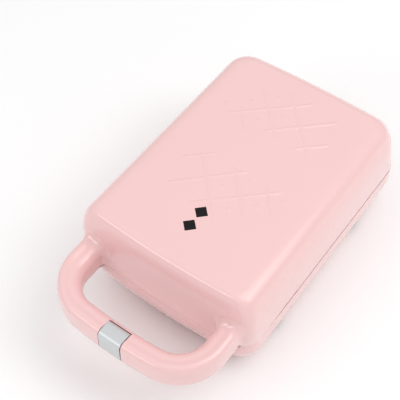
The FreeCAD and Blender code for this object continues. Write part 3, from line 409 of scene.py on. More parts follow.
def arc(centre: tuple[float, float], radius: float, start: float, end: float, steps: int) -> Array:
    """Points on a circle from a start angle to an end angle.

    Args:
        centre: The circle's centre.
        radius: Its radius.
        start: First angle in degrees.
        end: Last angle in degrees.
        steps: How many points.

    Returns:
        The points, one a row.
    """
    angle = np.radians(np.linspace(start, end, steps))
    return np.stack([centre[0] + radius * np.cos(angle), centre[1] + radius * np.sin(angle)], -1)


def prism(outline: Array, x_from: float, x_to: float, steps: int = 2) -> Skin:
    """Carries a closed outline along x between two flat ends.

    Args:
        outline: Points as (y, z).
        x_from: Where the prism starts.
        x_to: Where it ends.
        steps: How many copies of the outline it has, ends included.

    Returns:
        The closed prism.
    """
    xs = np.linspace(x_from, x_to, steps)
    rings = np.empty((steps, len(outline), 3))
    rings[..., 0] = xs[:, None]
    rings[..., 1:] = outline
    skin = Skin()
    skin.tube(rings)
    return skin


# ---------------------------------------------------------------- the two shells


@dataclass
class Plan:
    """The outline of a shell at one or more heights, seen from above.

    Straight sides, ends bowed to a large radius, corners tangent to both. Every
    size may be a column of numbers, one a height.
    """

    half: Array
    front: Array
    back: Array
    front_round: Array
    back_round: Array
    front_bow: float = 756.0
    back_bow: float = 1061.0
    end_steps: int = 40
    corner_steps: int = 26
    side_steps: int = 60

    def ring(self) -> Array:
        """The outline as rings of x and y.

        Each end is an arc of the bow about a point on the middle line. The corner's
        centre lies on the circle of (bow - corner) about that point, at the angle
        whose sine is (half - corner) / (bow - corner).

        Returns:
            One ring a height, from the middle of the front round by the right.
        """
        def share(steps: int, last: bool = False) -> Array:
            """Shares from 0 up to 1, with 1 itself only if it is the last."""
            return np.linspace(0, 1, steps, endpoint=last)[None, :]

        run_f, run_b = self.half - self.front_round, self.half - self.back_round
        turn_f = np.arcsin(run_f / (self.front_bow - self.front_round))
        turn_b = np.arcsin(run_b / (self.back_bow - self.back_round))
        mid_f, mid_b = self.front + self.front_bow, self.back - self.back_bow
        side_f = mid_f - (self.front_bow - self.front_round) * np.cos(turn_f)
        side_b = mid_b + (self.back_bow - self.back_round) * np.cos(turn_b)
        angle = turn_f * share(self.end_steps)
        end_f = (self.front_bow * np.sin(angle), mid_f - self.front_bow * np.cos(angle))
        angle = turn_f + (math.pi / 2 - turn_f) * share(self.corner_steps)
        corner_f = (run_f + self.front_round * np.sin(angle), side_f - self.front_round * np.cos(angle))
        along = share(self.side_steps)
        side = (self.half + 0 * along, side_f + (side_b - side_f) * along)
        angle = (math.pi / 2 - turn_b) * share(self.corner_steps)
        corner_b = (run_b + self.back_round * np.cos(angle), side_b + self.back_round * np.sin(angle))
        angle = turn_b * (1 - share(self.end_steps, True))
        end_b = (self.back_bow * np.sin(angle), mid_b + self.back_bow * np.cos(angle))
        x, y = (np.concatenate([part[axis] for part in (end_f, corner_f, side, corner_b, end_b)], 1)
                for axis in (0, 1))
        return np.stack([np.concatenate([x, -x[:, -2:0:-1]], 1),
                         np.concatenate([y, y[:, -2:0:-1]], 1)], -1)

    def gap(self, x: Array, y: Array) -> Array:
        """How far points of the right half lie outside the outline, near the front.

        Beside the corner it is the distance to its circle, in front the distance to
        the bow's circle, and past the corner's centre the distance to the side.

        Args:
            x: Places across the body, none below zero.
            y: Places along it.

        Returns:
            The distances, below zero inside the outline.
        """
        run = self.half - self.front_round
        turn = np.arcsin(run / (self.front_bow - self.front_round))
        middle = self.front + self.front_bow
        centre_y = middle - (self.front_bow - self.front_round) * np.cos(turn)
        corner = np.hypot(x - run, y - centre_y) - self.front_round
        ahead = np.hypot(x, y - middle) - self.front_bow
        near = np.where(np.arctan2(x, middle - y) > turn, corner, ahead)
        return np.where(y > centre_y, x - self.half, near)


@dataclass
class LidShape:
    """The sizes of the domed lid, in millimetres."""

    bottom: float = 40.6
    top: float = 88.3
    wall: float = 2.4
    half: float = 70.0
    front: float = -81.275
    back: float = 122.725
    side_fall: float = 23.1
    side_power: float = 3.9
    front_fall: float = 10.1
    front_power: float = 3.3
    back_fall: float = 22.5
    back_power: float = 1.85
    front_corner: float = 14.0
    front_upper: float = 7.5
    back_corner: float = 18.0
    top_corner: float = 11.6
    back_swell: float = 9.0

    def plan(self, height: Array, inward: float | Array = 0.0) -> Plan:
        """The outline at given heights, moved inwards by a wall.

        Each wall leans in by fall (1 - (1 - share^power)^(1 / power)) of the share
        of the height, a superellipse. A front corner tightens along (1 - 2 share)^2
        over the lower half. A back corner's radius runs evenly to the top, plus a
        swell of 4 share (1 - share) that is largest half way up.

        Args:
            height: Heights above the table.
            inward: How far the outline is moved inwards.

        Returns:
            The outline at those heights.
        """
        share = np.clip((height - self.bottom) / (self.top - inward - self.bottom), 0, 1)

        def lean(fall: float, power: float) -> Array:
            """How far a wall leans in at each height."""
            return fall * (1 - (1 - share ** power) ** (1 / power))

        return Plan(
            half=self.half - lean(self.side_fall, self.side_power) - inward,
            front=self.front + lean(self.front_fall, self.front_power) + inward,
            back=self.back - lean(self.back_fall, self.back_power) - inward,
            front_round=self.front_upper - inward
            + (self.front_corner - self.front_upper) * np.clip(1 - 2 * share, 0, 1) ** 2,
            back_round=self.back_corner + (self.top_corner - self.back_corner) * share
            + self.back_swell * 4 * share * (1 - share) - inward)

    def gap(self, points: Array) -> Array:
        """How far points lie outside the lid's walls."""
        height = np.minimum(points[..., 2], self.top - 1)
        return self.plan(height).gap(np.abs(points[..., 0]), points[..., 1])


@dataclass
class BaseShape:
    """The sizes of the lower shell, in millimetres."""

    top: float = 39.4
    rim: float = 12.9
    front_rim: float = 8.5
    bottom: float = 4.5
    wall: float = 2.4
    inset: float = 0.2
    groove: float = 2.2
    fall: float = 11.5
    edge: float = 3.0
    lid: LidShape = field(default_factory=LidShape)

    def plan(self, height: Array, inward: float | Array = 0.0) -> Plan:
        """The outline at given heights: upright at the rim, then leaning in.

        Below the rim it leans in by fall (0.55 share + 0.45 share^3), and at the
        bottom a quarter round of the edge radius turns it under. The rim is
        shallower in front than beside.

        Args:
            height: Heights above the table.
            inward: How far the outline is moved inwards.

        Returns:
            The outline at those heights.
        """
        low = np.clip((self.bottom + inward + self.edge - height) / self.edge, 0, 1)
        under = self.edge * (1 - np.sqrt(1 - low ** 2))

        def lean(rim: float) -> Array:
            """How far the wall leans in below a rim of the given depth."""
            share = np.clip((self.top - rim - height) / (self.top - rim - self.bottom - inward), 0, 1)
            return self.fall * (0.55 * share + 0.45 * share ** 3) + under

        inset, ahead = (self.inset + inward + lean(rim) for rim in (self.rim, self.front_rim))
        tight = self.inset + inward + lean(self.rim) / 3
        lid = self.lid
        return Plan(half=lid.half - inset, front=lid.front + ahead, back=lid.back - inset,
                    front_round=lid.front_corner - tight, back_round=lid.back_corner - tight)

    def gap(self, points: Array) -> Array:
        """How far points lie outside the base's walls."""
        return self.plan(points[..., 2]).gap(np.abs(points[..., 0]), points[..., 1])


def lofted(plan: Plan, height: Array) -> Array:
    """Rings of points at given heights, from an outline worked out at those heights."""
    flat = plan.ring()
    return np.concatenate([flat, np.broadcast_to(height[:, :, None], flat.shape[:2] + (1,))], -1)


# Places along the body between which the joint of the two rims fades out forwards.
JOINT_FADE = (-62.0, -40.0)


def jointed(shape: "LidShape | BaseShape", flush: Array, height: Array, inward: Array) -> Array:
    """Rings whose first few make the joint between the rims beside and behind.

    Their heights run from the joint's to the flush ones by a smooth step along the
    body, so that the joint closes towards the front.

    Args:
        shape: The shell's shape.
        flush: Heights of the first rings in front.
        height: Heights of all rings beside and behind.
        inward: How far each of the first rings is moved inwards.

    Returns:
        The rings.
    """
    moved = np.zeros_like(height)
    moved[:len(inward), 0] = inward
    rings = lofted(shape.plan(height, moved), height)
    first = rings[:len(flush)]
    first[..., 2] += (flush[:, None] - first[..., 2]) * (1 - ease(*JOINT_FADE, first[..., 1]))
    return rings


def shrunk(ring: Array, steps: int) -> Array:
    """Rings between a ring and its middle, without the middle itself."""
    middle = ring.mean(0)
    share = np.linspace(1, 0, steps, endpoint=False)[1:, None, None]
    return middle + (ring - middle) * share


def shell(outer: Array, inner: Array, skin: Skin) -> None:
    """Closes an outer and an inner bowl into one thick shell.

    Args:
        outer: Rings of the outer face from its rim to its far end.
        inner: Rings of the inner face from its rim to its far end.
        skin: The skin that the shell is added to.
    """
    outer = np.concatenate([outer, shrunk(outer[-1], 14)])
    inner = np.concatenate([inner, shrunk(inner[-1], 5)])
    numbers = skin.add(np.concatenate([inner[::-1], outer]))
    skin.weave(numbers, columns_meet=True)
    skin.cap(numbers[0], inner[-1].mean(0))
    skin.cap(numbers[-1], outer[-1].mean(0))


# ---------------------------------------------------------------- the loop sweep


# Middle of the body to an arm, bend radius and bow radius of the handle's middle line.
HANDLE_PATH = (55.1, 28.0, 360.0)
# The grip: half its width, half the width of its foot, its height and how high its foot lies.
GRIP_HALF, GRIP_FOOT_HALF, GRIP_HEIGHT, GRIP_FOOT = 8.05, 6.0, 22.7, 41.2
# Where the hinge's line lies, as (y, z).
HINGE = (128.225, 40.0)


@dataclass
class Loop:
    """A handle loop: a section carried along an arm, a bend and a bowed grip.

    Only the right half is worked out, and the left is its reflection.

    Attributes:
        section: The outer section as (outwards, upwards) from the middle line's foot.
        channel: The hollow's section, or no points for a solid bar.
        middle_y: The grip's middle line at the middle of the body.
        foot: How high the section's foot lies.
        arm: From the middle of the body to the arm.
        bend: Radius of the bend.
        bow: Radius of the grip's bow.
        fillet: Radius of the fillet at the wall, one for each point of the section.
        gap: How far points lie outside the wall.
        root_inside: How far along the body the hollow runs.
        start: Where the grip starts beside the middle.
        solid_end: Length of the solid web at the start of the hollow.
        halvings: How often the place of the ball is halved.
        sink: How far the last ring lies inside the wall.
    """

    section: Array
    channel: Array
    middle_y: float
    foot: float
    arm: float
    bend: float
    bow: float
    fillet: Array
    gap: Callable[[Array], Array]
    root_inside: float
    start: float = 0.0
    solid_end: float = 0.0
    halvings: int = 40
    sink: float = 0.9

    def _line(self, start: float) -> tuple[Array, Array, Array]:
        """The middle line from a place across the grip to the foot of the arm.

        The grip is an arc of the bow's radius, the bend an arc tangent to it and to
        the straight arm.

        Args:
            start: Place across the grip where the line starts.

        Returns:
            Middle points in x and y, the outward directions, and the bend's end.
        """
        run = self.arm - self.bend
        centre = self.middle_y + self.bow
        turn = math.asin(run / (self.bow - self.bend))
        bend_y = centre - (self.bow - self.bend) * math.cos(turn)
        grip = np.linspace(math.asin(start / self.bow), turn, 26, endpoint=False)
        curve = np.linspace(turn, math.pi / 2, 36)
        angle = np.concatenate([grip, curve])
        hub_x = np.concatenate([np.zeros_like(grip), np.full_like(curve, run)])
        hub_y = np.concatenate([np.full_like(grip, centre), np.full_like(curve, bend_y)])
        reach = np.concatenate([np.full_like(grip, self.bow), np.full_like(curve, self.bend)])
        out = np.stack([np.sin(angle), -np.cos(angle)], -1)
        return np.stack([hub_x, hub_y], -1) + out * reach[:, None], out, np.array(bend_y)

    def _rings(self, start: float, section: Array) -> tuple[Array, float]:
        """The section carried along the middle line up to the end of the bend.

        Args:
            start: Place across the grip where the line starts.
            section: The section that is carried.

        Returns:
            One ring a place on the line, and the y of the bend's end.
        """
        middle, out, bend_y = self._line(start)
        flat = middle[:, None] + out[:, None] * section[None, :, :1]
        rise = np.broadcast_to(self.foot + section[None, :, 1:], flat.shape[:2] + (1,))
        return np.concatenate([flat, rise], -1), float(bend_y)

    def _root(self, bend_y: float) -> Array:
        """The arm from the bend to its wall, flaring into it with a rolling ball.

        A ball of the fillet's radius rests on the arm and on the wall. Its centre is
        found by halving along the arm until the gap to the wall is the radius. The
        fillet is the arc between the two places that the ball touches.

        Args:
            bend_y: The y of the bend's end.

        Returns:
            Rings from just after the bend to just inside the wall.
        """
        points = np.stack([self.arm + self.section[:, 0], np.zeros(len(self.section)),
                           self.foot + self.section[:, 1]], -1)
        step = np.roll(self.section, -1, 0) - np.roll(self.section, 1, 0)
        if len(self.channel):
            step[0], step[-1] = (0, 1), (0, -1)
        normal = np.stack([step[:, 1], np.zeros(len(step)), -step[:, 0]], -1)
        normal /= np.linalg.norm(normal, axis=1, keepdims=True)
        radius = self.fillet[:, None]
        low, high = np.full(len(points), bend_y - 20), np.full(len(points), bend_y + 60)
        for _ in range(self.halvings):
            centre = points + radius * normal
            centre[:, 1] = (low + high) / 2
            outside = self.gap(centre) > self.fillet
            low, high = np.where(outside, centre[:, 1], low), np.where(outside, high, centre[:, 1])
        slope = np.stack([self.gap(centre + shift) - self.gap(centre - shift)
                          for shift in np.eye(3) * 0.01], -1)
        slope[:, 2] = 0
        slope /= np.linalg.norm(slope, axis=1, keepdims=True)
        spread = np.arccos(np.clip((normal * slope).sum(1), -1, 1))[:, None]
        share = np.linspace(0, 1, 15)[:, None, None]
        blend = (np.sin((1 - share) * spread) * -normal + np.sin(share * spread) * -slope) / np.sin(spread)
        fillet = centre + radius * blend
        straight = np.linspace(0, 1, 8, endpoint=False)[1:, None]
        arm = np.repeat(points[None], 7, 0)
        arm[:, :, 1] = bend_y + (fillet[0, :, 1] - bend_y) * straight
        inside = np.stack([fillet[-1] - slope * 0.06, fillet[-1] - slope * self.sink])
        inside[..., 2] = np.maximum(inside[..., 2], self.foot)
        return np.concatenate([arm, fillet[:-1], inside])

    def skin(self) -> Skin:
        """The whole loop, hollow from below when it has a channel.

        Returns:
            Both halves as one skin.
        """
        outer, bend_y = self._rings(self.start, self.section)
        root = self._root(bend_y)
        if len(self.channel) == 0:
            half = Skin()
            numbers = half.add(np.concatenate([outer, root]))
            half.weave(numbers, columns_meet=True)
            half.cap(numbers[-1], root[-1].mean(0))
            if self.start:
                half.cap(numbers[0], outer[0].mean(0))
            return half.mirrored()
        inner, _ = self._rings(self.start, self.channel)
        deep = self.channel[None, :, :] + np.array([self.arm, self.foot])
        along = np.linspace(bend_y, self.root_inside, len(root) + 1)[1:, None]
        far = np.stack([np.broadcast_to(deep[..., 0], (len(root), deep.shape[1])),
                        np.broadcast_to(along, (len(root), deep.shape[1])),
                        np.broadcast_to(deep[..., 1], (len(root), deep.shape[1]))], -1)
        outer, inner = np.concatenate([outer, root]), np.concatenate([inner, far])
        web = int(np.argmax(inner[:, 0, 0] > self.start + self.solid_end))
        low = inner[:web + 1].copy()
        low[..., 2] = self.foot
        inner = np.concatenate([low, inner[web:]])
        outer = np.concatenate([outer[:web + 1], outer[web:]])
        half = Skin()
        numbers = half.add(np.concatenate([outer, inner[:, ::-1]], 1))
        half.weave(numbers, columns_meet=True)
        count = outer.shape[1]
        for row in (0, -1):
            half.weave(np.stack([numbers[row, :count], numbers[row, count:][::-1]]))
        return half.mirrored()


def bar_section(half: float, height: float, low: float, high: float) -> Array:
    """The closed section of a bar, with its own rounds below and above.

    Args:
        half: Half its width.
        height: Its height.
        low: Radius of the rounds below.
        high: Radius of the rounds above.

    Returns:
        Points as (outwards, upwards) from the middle of the foot.
    """
    corners = (((half - low, low), low, -90), ((half - high, height - high), high, 0),
               ((high - half, height - high), high, 90), ((low - half, low), low, 180))
    return np.concatenate([arc(spot, radius, start, start + 90, 8) for spot, radius, start in corners])


def grip_section(width: float, height: float, outer: float, inner: float, drop: float,
                 lean: float = 0.0, foot: float = 0.0) -> Array:
    """The section of the grip from its outer foot over the top to its inner foot.

    Each side follows w (1 - ((c - z) / c)^4)^(1/4) of the height z up to the middle
    c, and no nearer in than the foot. Above them are a tight round on the outer
    side, a top that falls by drop towards the inner side, and a wide round there.

    Args:
        width: Half the width.
        height: Height of the outer side.
        outer: Round above the outer side.
        inner: Round above the inner side.
        drop: How far the top falls.
        lean: How far the outer side leans in at its round.
        foot: Half the width at the foot, or nothing for upright sides.

    Returns:
        Points as (outwards, upwards).
    """
    def side(rise: Array) -> Array:
        """Half the width at each height above the foot."""
        low = np.clip(1 - 2 * rise / height, 0, 1)
        return np.maximum(width * (1 - low ** 4) ** 0.25, foot or width)

    crown = arc((width - lean - outer, height - outer), outer, 0, 88, 14)
    back = arc((inner - width, height - drop - inner), inner, 86, 180, 16)
    rise = (height - outer) * np.linspace(0, 1, 18, endpoint=False) ** 1.6
    up = np.stack([side(rise) - lean * ease(0.3 * height, height, rise), rise], -1)
    share = np.linspace(0, 1, 5)[1:-1, None]
    flat = crown[-1] + (back[0] - crown[-1]) * share
    fall = (height - drop - inner) * np.linspace(1, 0, 17)[1:] ** 1.6
    return np.concatenate([up, crown, flat, back, np.stack([-side(fall), fall], -1)])


# ---------------------------------------------------------------- the lid


@dataclass
class Lid:
    """The domed lid with its loop handle, lattice relief, windows and hinge knuckles."""

    shape: LidShape = field(default_factory=LidShape)
    relief: float = 0.4
    bead: float = 2.6
    rib_half: tuple[float, float] = (0.5, 1.6)
    rib_fade: float = 5.0
    sunk: float = 0.02
    root: float = 0.3
    grip_y: float = -124.675
    grip_foot: float = GRIP_FOOT
    grip_half: float = GRIP_HALF
    grip_height: float = GRIP_HEIGHT
    grip_rounds: tuple[float, float] = (4.4, 7.4)
    channel_rounds: tuple[float, float] = (2.4, 5.2)
    grip_drop: float = 1.2
    channel_drop: float = 1.0
    grip_lean: float = 0.35
    root_fillet: float = 5.0
    root_flare: float = 3.5
    root_depth: float = 2.0
    web: float = 2.6
    strip_half: float = 5.4
    strip_height: float = 2.0
    strip_start: float = 11.8
    hinge: tuple[float, float] = HINGE
    knuckle: float = 4.5
    knuckle_half: float = 5.7
    hinge_spread: float = 41.0
    notch_half: float = 8.9
    notch_back: float = -119.575
    window_side: float = 7.5
    windows: dict[str, float] = field(default_factory=lambda: {
        "power_window": -46.875, "ready_window": -34.075})

    def dome(self) -> Skin:
        """The domed cover as one thick shell.

        The share of the height is sin(t)^(2/3) for t from 0 to a right angle, so
        that rings crowd where the walls turn over into the flat top.

        Returns:
            The closed shell.
        """
        shape = self.shape
        share = np.sin(np.linspace(0, math.pi / 2, 64)) ** (2 / 3)
        height = shape.bottom + (shape.top - shape.bottom) * share
        step = shape.bottom + np.array([0.0, 0.02, 0.9, 0.92, 1.0, 1.15])
        height = np.concatenate([step, height[height > step[-1] + 0.3]])[:, None]
        flush = shape.bottom + np.array([0.0, 0.0, 0.0, 0.0, 0.1, 0.4])
        outer = jointed(shape, flush, height, np.array([1.5, 1.5, 1.45, 0.2, 0.06]))
        share = np.sin(np.linspace(0, math.pi / 2, 24)) ** (2 / 3)
        height = shape.bottom + (shape.top - shape.wall - shape.bottom) * share[:, None]
        skin = Skin()
        shell(outer, lofted(shape.plan(height, shape.wall), height), skin)
        return skin

    def section(self) -> Array:
        """The outer section of the grip."""
        return grip_section(self.grip_half, self.grip_height, *self.grip_rounds, self.grip_drop,
                            self.grip_lean, GRIP_FOOT_HALF)

    def handle(self) -> Loop:
        """The loop handle, hollow from below, parted at the latch."""
        wall = self.shape.wall
        section = self.section()
        channel = grip_section(self.grip_half - wall, self.grip_height - wall, *self.channel_rounds,
                               self.channel_drop)
        rise = section[:, 1] / self.grip_height
        return Loop(section, channel, self.grip_y, self.grip_foot, *HANDLE_PATH,
                    fillet=self.root_fillet + self.root_flare * ease(0.5, 1.0, rise),
                    gap=self.shape.gap, root_inside=self.shape.front + self.root_depth,
                    start=self.notch_half, solid_end=self.web)

    def liner(self) -> Skin:
        """The two strips that close the handle from below."""
        section = bar_section(self.strip_half, self.strip_height, 0.2, 0.2)
        return Loop(section, np.zeros((0, 2)), self.grip_y, self.grip_foot + self.strip_height,
                    *HANDLE_PATH, fillet=np.full(len(section), 0.6), gap=self.shape.gap,
                    root_inside=self.shape.front + self.root_depth, start=self.strip_start).skin()

    def bridge(self) -> Skin:
        """The back wall of the grip behind the latch, between its two halves."""
        section = self.section()
        limit = self.grip_y - self.notch_back
        kept = section[section[:, 0] < limit]
        crown = section[18:-16]
        edge = np.array([[limit, np.interp(-limit, -crown[:, 0], crown[:, 1])], [limit, 0.0]])
        outline = np.concatenate([kept, edge[::-1]])
        outline = np.stack([self.grip_y - outline[:, 0], self.grip_foot + outline[:, 1]], -1)
        return prism(outline, -self.notch_half - 0.4, self.notch_half + 0.4, 5)

    def knuckles(self) -> Skin:
        """Two knuckles: a barrel on the hinge axis and an arm into the back wall."""
        y, z = self.hinge
        low = math.degrees(math.asin(0.6 / self.knuckle))
        barrel = arc((y, z), self.knuckle, 180 - low, 450, 44)
        outline = np.concatenate([[(y - 8.4, z + 0.6)], barrel, [(y - 9.6, z + self.knuckle)]])
        both = prism(outline, self.hinge_spread - self.knuckle_half,
                     self.hinge_spread + self.knuckle_half)
        return both.mirrored()

    def lattice(self) -> Skin:
        """Crossing ribs and small beads raised on the top, front and back.

        Each rib is a strip whose height over its width is (1 - c^2)^1.5 of the
        share c from its middle line, falling to nothing over its last few
        millimetres. Each bead is a shallow cap.

        Returns:
            Every rib and bead as a closed skin that starts under the top's face.
        """
        ribs = np.array([
            (-39.4, -6.4, -19.2, 12.9), (-33.9, -29.2, 7.3, 12.5), (-12.9, -34.8, 34.7, 10.6),
            (-30.4, 8.8, 11.7, -35.2), (-5.8, 11.5, 27.0, -24.2), (21.0, 9.9, 41.9, -13.5),
            (-37.1, 44.4, 12.1, 90.4), (-7.4, 45.3, 34.0, 84.7), (17.6, 43.4, 39.7, 63.8),
            (-32.2, 58.4, -13.2, 36.7), (-28.1, 80.9, 8.1, 43.9), (-10.5, 89.0, 32.9, 45.0)])
        beads = np.array([
            (-0.6, -8.8), (12.5, 4.8), (12.8, -22.2), (26.2, -9.6), (39.1, 3.8),
            (-40.8, 53.4), (-27.2, 66.0), (-13.6, 78.9), (-13.6, 53.3), (-1.0, 65.9)])
        skin = Skin()
        top, across = self.shape.top, np.linspace(-1, 1, 11)
        along = np.linspace(0, 1, 60)[:, None]
        for x0, y0, x1, y1 in ribs:
            start, run = np.array((x0, y0)), np.array((x1 - x0, y1 - y0))
            length = np.hypot(*run)
            side = np.array((-run[1], run[0])) / length
            fade = ease(0, self.rib_fade, along * length) * ease(0, self.rib_fade, (1 - along) * length)
            width = self.rib_half[0] + (self.rib_half[1] - self.rib_half[0]) * fade
            flat = start + along[:, :, None] * run + across[None, :, None] * side * width[:, :, None]
            lift = top - self.sunk + self.relief * fade * (1 - across ** 2) ** 1.5
            crest = np.concatenate([flat, lift[..., None]], -1)
            under = crest[:, ::-1].copy()[:, [0, 5, 10]]
            under[..., 2] = top - self.root
            skin.tube(np.concatenate([crest, under], 1))
        radius = np.linspace(1, 0, 9, endpoint=False)
        cap = np.stack([self.bead * radius, self.relief * (1 - radius ** 2) ** 1.6], -1)
        profile = np.concatenate([[(self.bead, -self.root)], cap])
        for x, y in beads:
            skin.tube(turned(profile, (x, y, top - self.sunk), steps=32))
        return skin

    def lens(self, y: float) -> Skin:
        """A diamond lens, a hair proud of the top, with an eased edge.

        Args:
            y: Place along the lid of its middle.

        Returns:
            The lens, from its flange under the skin to its face.
        """
        reach = self.window_side / math.sqrt(2)
        heights = np.array([-6.0, -2.5, -2.45, 0.02, 0.08, 0.1]) + self.shape.top
        reaches = np.array([reach + 0.8, reach + 0.8, reach, reach, reach - 0.08, reach - 0.3])
        turn = np.radians(45 * np.arange(8))
        pull = np.where(np.arange(8) % 2, math.sqrt(0.5), 1.0)
        flat = np.stack([np.sin(turn) * pull, -np.cos(turn) * pull], -1)
        rings = np.empty((len(heights), 8, 3))
        rings[..., :2] = flat * reaches[:, None, None] + (0, y)
        rings[..., 2] = heights[:, None]
        skin = Skin()
        skin.tube(rings)
        return skin

    def build(self) -> None:
        """Makes every piece of the lid."""
        cover = self.dome()
        cover.take(self.handle().skin())
        cover.take(self.bridge())
        cover.take(self.knuckles())
        settle("lid_shell", cover, SHELL, Body.LID, ("lid_cover",))
        settle("lid_lattice", self.lattice(), SHELL, Body.LID)
        settle("handle_underside", self.liner(), SHELL, Body.LID, ("handle_liner",))
        for name, y in self.windows.items():
            settle(f"{name}_lens", self.lens(y), LENS, Body.LID, (name,), sharp=50)


# ---------------------------------------------------------------- the base


@dataclass
class Base:
    """The lower shell with its handle rail, legs, hinge ears, feet and cord bush."""

    shape: BaseShape = field(default_factory=BaseShape)
    rail_y: float = -122.225
    rail_foot: float = 31.8
    rail_half: float = 2.8
    rail_height: float = 7.6
    rail_line: float = -121.475
    rail_fillet: float = 2.5
    pad_half: float = 9.5
    pad_reach: float = 4.5
    pad_round: float = 1.5
    hinge: tuple[float, float] = HINGE
    ear: float = 4.5
    ear_places: tuple[float, float] = (32.5, 49.5)
    ear_half: float = 2.5
    leg_radius: float = 9.0
    leg_top: float = 20.5
    foot_spots: tuple[tuple[float, float], ...] = ((55.5, -30.0), (55.5, 74.0))

    def bowl(self) -> Skin:
        """The lower shell as one thick shell with a flat floor.

        Returns:
            The closed shell.
        """
        shape = self.shape
        low = shape.bottom + shape.edge * (1 - np.sin(np.linspace(0, math.pi / 2, 10)))
        wall = np.linspace(shape.top - shape.rim, shape.bottom + shape.edge, 20, endpoint=False)
        rim = np.linspace(shape.top, shape.top - shape.rim, 10, endpoint=False)
        top, low_top = shape.top, shape.top - shape.groove
        lip = [top, top, low_top, low_top, top - 0.05, top, top - 0.02, top - 0.2]
        height = np.concatenate([lip, rim[1:], wall, low])[:, None]
        flush = top + np.array([0.0, 0.0, 0.1, 0.6, 0.75, 0.8, 0.75, 0.55])
        outer = jointed(shape, flush, height, np.array([2.2, 2.15, 2.1, 0.35, 0.3, 0.2, 0.1]))
        height = np.linspace(shape.top, shape.bottom + shape.wall, 20)[:, None]
        skin = Skin()
        shell(outer, lofted(shape.plan(height, shape.wall), height), skin)
        return skin

    def rail(self) -> Loop:
        """The lower handle rail: a rounded bar along the same kind of loop."""
        section = bar_section(self.rail_half, self.rail_height, 2.4, 1.2)
        return Loop(section, np.zeros((0, 2)), self.rail_line, self.rail_foot, *HANDLE_PATH,
                    fillet=np.full(len(section), self.rail_fillet), gap=self.shape.gap,
                    root_inside=self.shape.lid.front + 3.0)

    def pad(self) -> Skin:
        """The thicker middle of the rail that the catch is screwed to."""
        outline = bar_section(self.pad_reach, self.rail_height, self.pad_round, self.pad_round)
        return prism(outline + (self.rail_y, self.rail_foot), -self.pad_half, self.pad_half)

    def ears(self) -> Skin:
        """Four hinge ears: a barrel on the hinge axis and an arm into the rim."""
        y, z = self.hinge
        low = math.degrees(math.asin(0.6 / self.ear))
        barrel = arc((y, z), self.ear, -90, 180 + low, 44)
        outline = np.concatenate([[(y - 8.4, z - self.ear)], barrel, [(y - 8.4, z - 0.6)]])
        skin = Skin()
        for place in self.ear_places:
            skin.take(prism(outline, place - self.ear_half, place + self.ear_half))
        return skin.mirrored()

    def legs(self) -> Skin:
        """Four round legs that stand out of the leaning wall over the feet."""
        top = arc((self.leg_radius - 4, self.leg_top - 4), 4, 0, 88, 9)
        foot = [(self.leg_radius - 0.6, 4.5), (self.leg_radius, 5.1)]
        profile = np.concatenate([foot, top])
        skin = Skin()
        for x, y in self.foot_spots:
            skin.tube(turned(profile, (x, y, 0)))
        return skin.mirrored()

    def feet(self) -> Skin:
        """Four rubber feet with an eased edge and a ring groove underneath."""
        profile = np.array([
            (2.2, 0.0), (4.6, 0.0), (4.8, 0.5), (5.4, 0.5), (5.6, 0.0), (6.9, 0.0), (7.5, 0.15),
            (7.85, 0.5), (8.0, 1.1), (8.0, 4.0), (7.9, 4.35), (7.6, 4.5), (3.9, 4.5), (3.9, 7.1)])
        skin = Skin()
        for x, y in self.foot_spots:
            skin.tube(turned(profile, (x, y, 0)))
        return skin.mirrored()

    def bush(self) -> Skin:
        """The cord bush: a flange, a collar with three flex grooves and a rounded bore.

        It is a closed profile turned about the cord's line, so its rings meet.

        Returns:
            The closed bush.
        """
        mouth = arc((4.6, 6.0), 1.0, 0, 180, 9)
        grooves = np.array([(7.6, 2.0), (6.9, 2.4), (6.0, 2.9), (6.7, 3.4), (5.9, 3.9), (6.4, 4.4),
                            (5.7, 4.9), (6.0, 5.4)])
        flange = np.array([(3.5, -7.0), (6.0, -7.0), (6.0, 0.0), (7.7, 0.0), (8.0, 0.3), (8.0, 1.7)])
        profile = np.concatenate([flange, grooves, mouth + (0.3, 0.0), [(3.55, 4.0)]])
        skin = Skin()
        numbers = skin.add(turned(profile, (0, 122.325, 18), "y"))
        skin.weave(numbers, rows_meet=True, columns_meet=True)
        return skin

    def build(self) -> None:
        """Makes every piece of the base."""
        housing = self.bowl()
        housing.take(self.rail().skin())
        housing.take(self.pad())
        housing.take(self.ears())
        housing.take(self.legs())
        settle("base_shell", housing, SHELL, Body.BASE, ("base_housing",))
        settle("base_feet", self.feet(), FOOT, Body.BASE, ("rubber_feet",), sharp=50)
        settle("base_bush", self.bush(), BUSH, Body.BASE, ("cord_bush",), sharp=50)


# ---------------------------------------------------------------- the plates


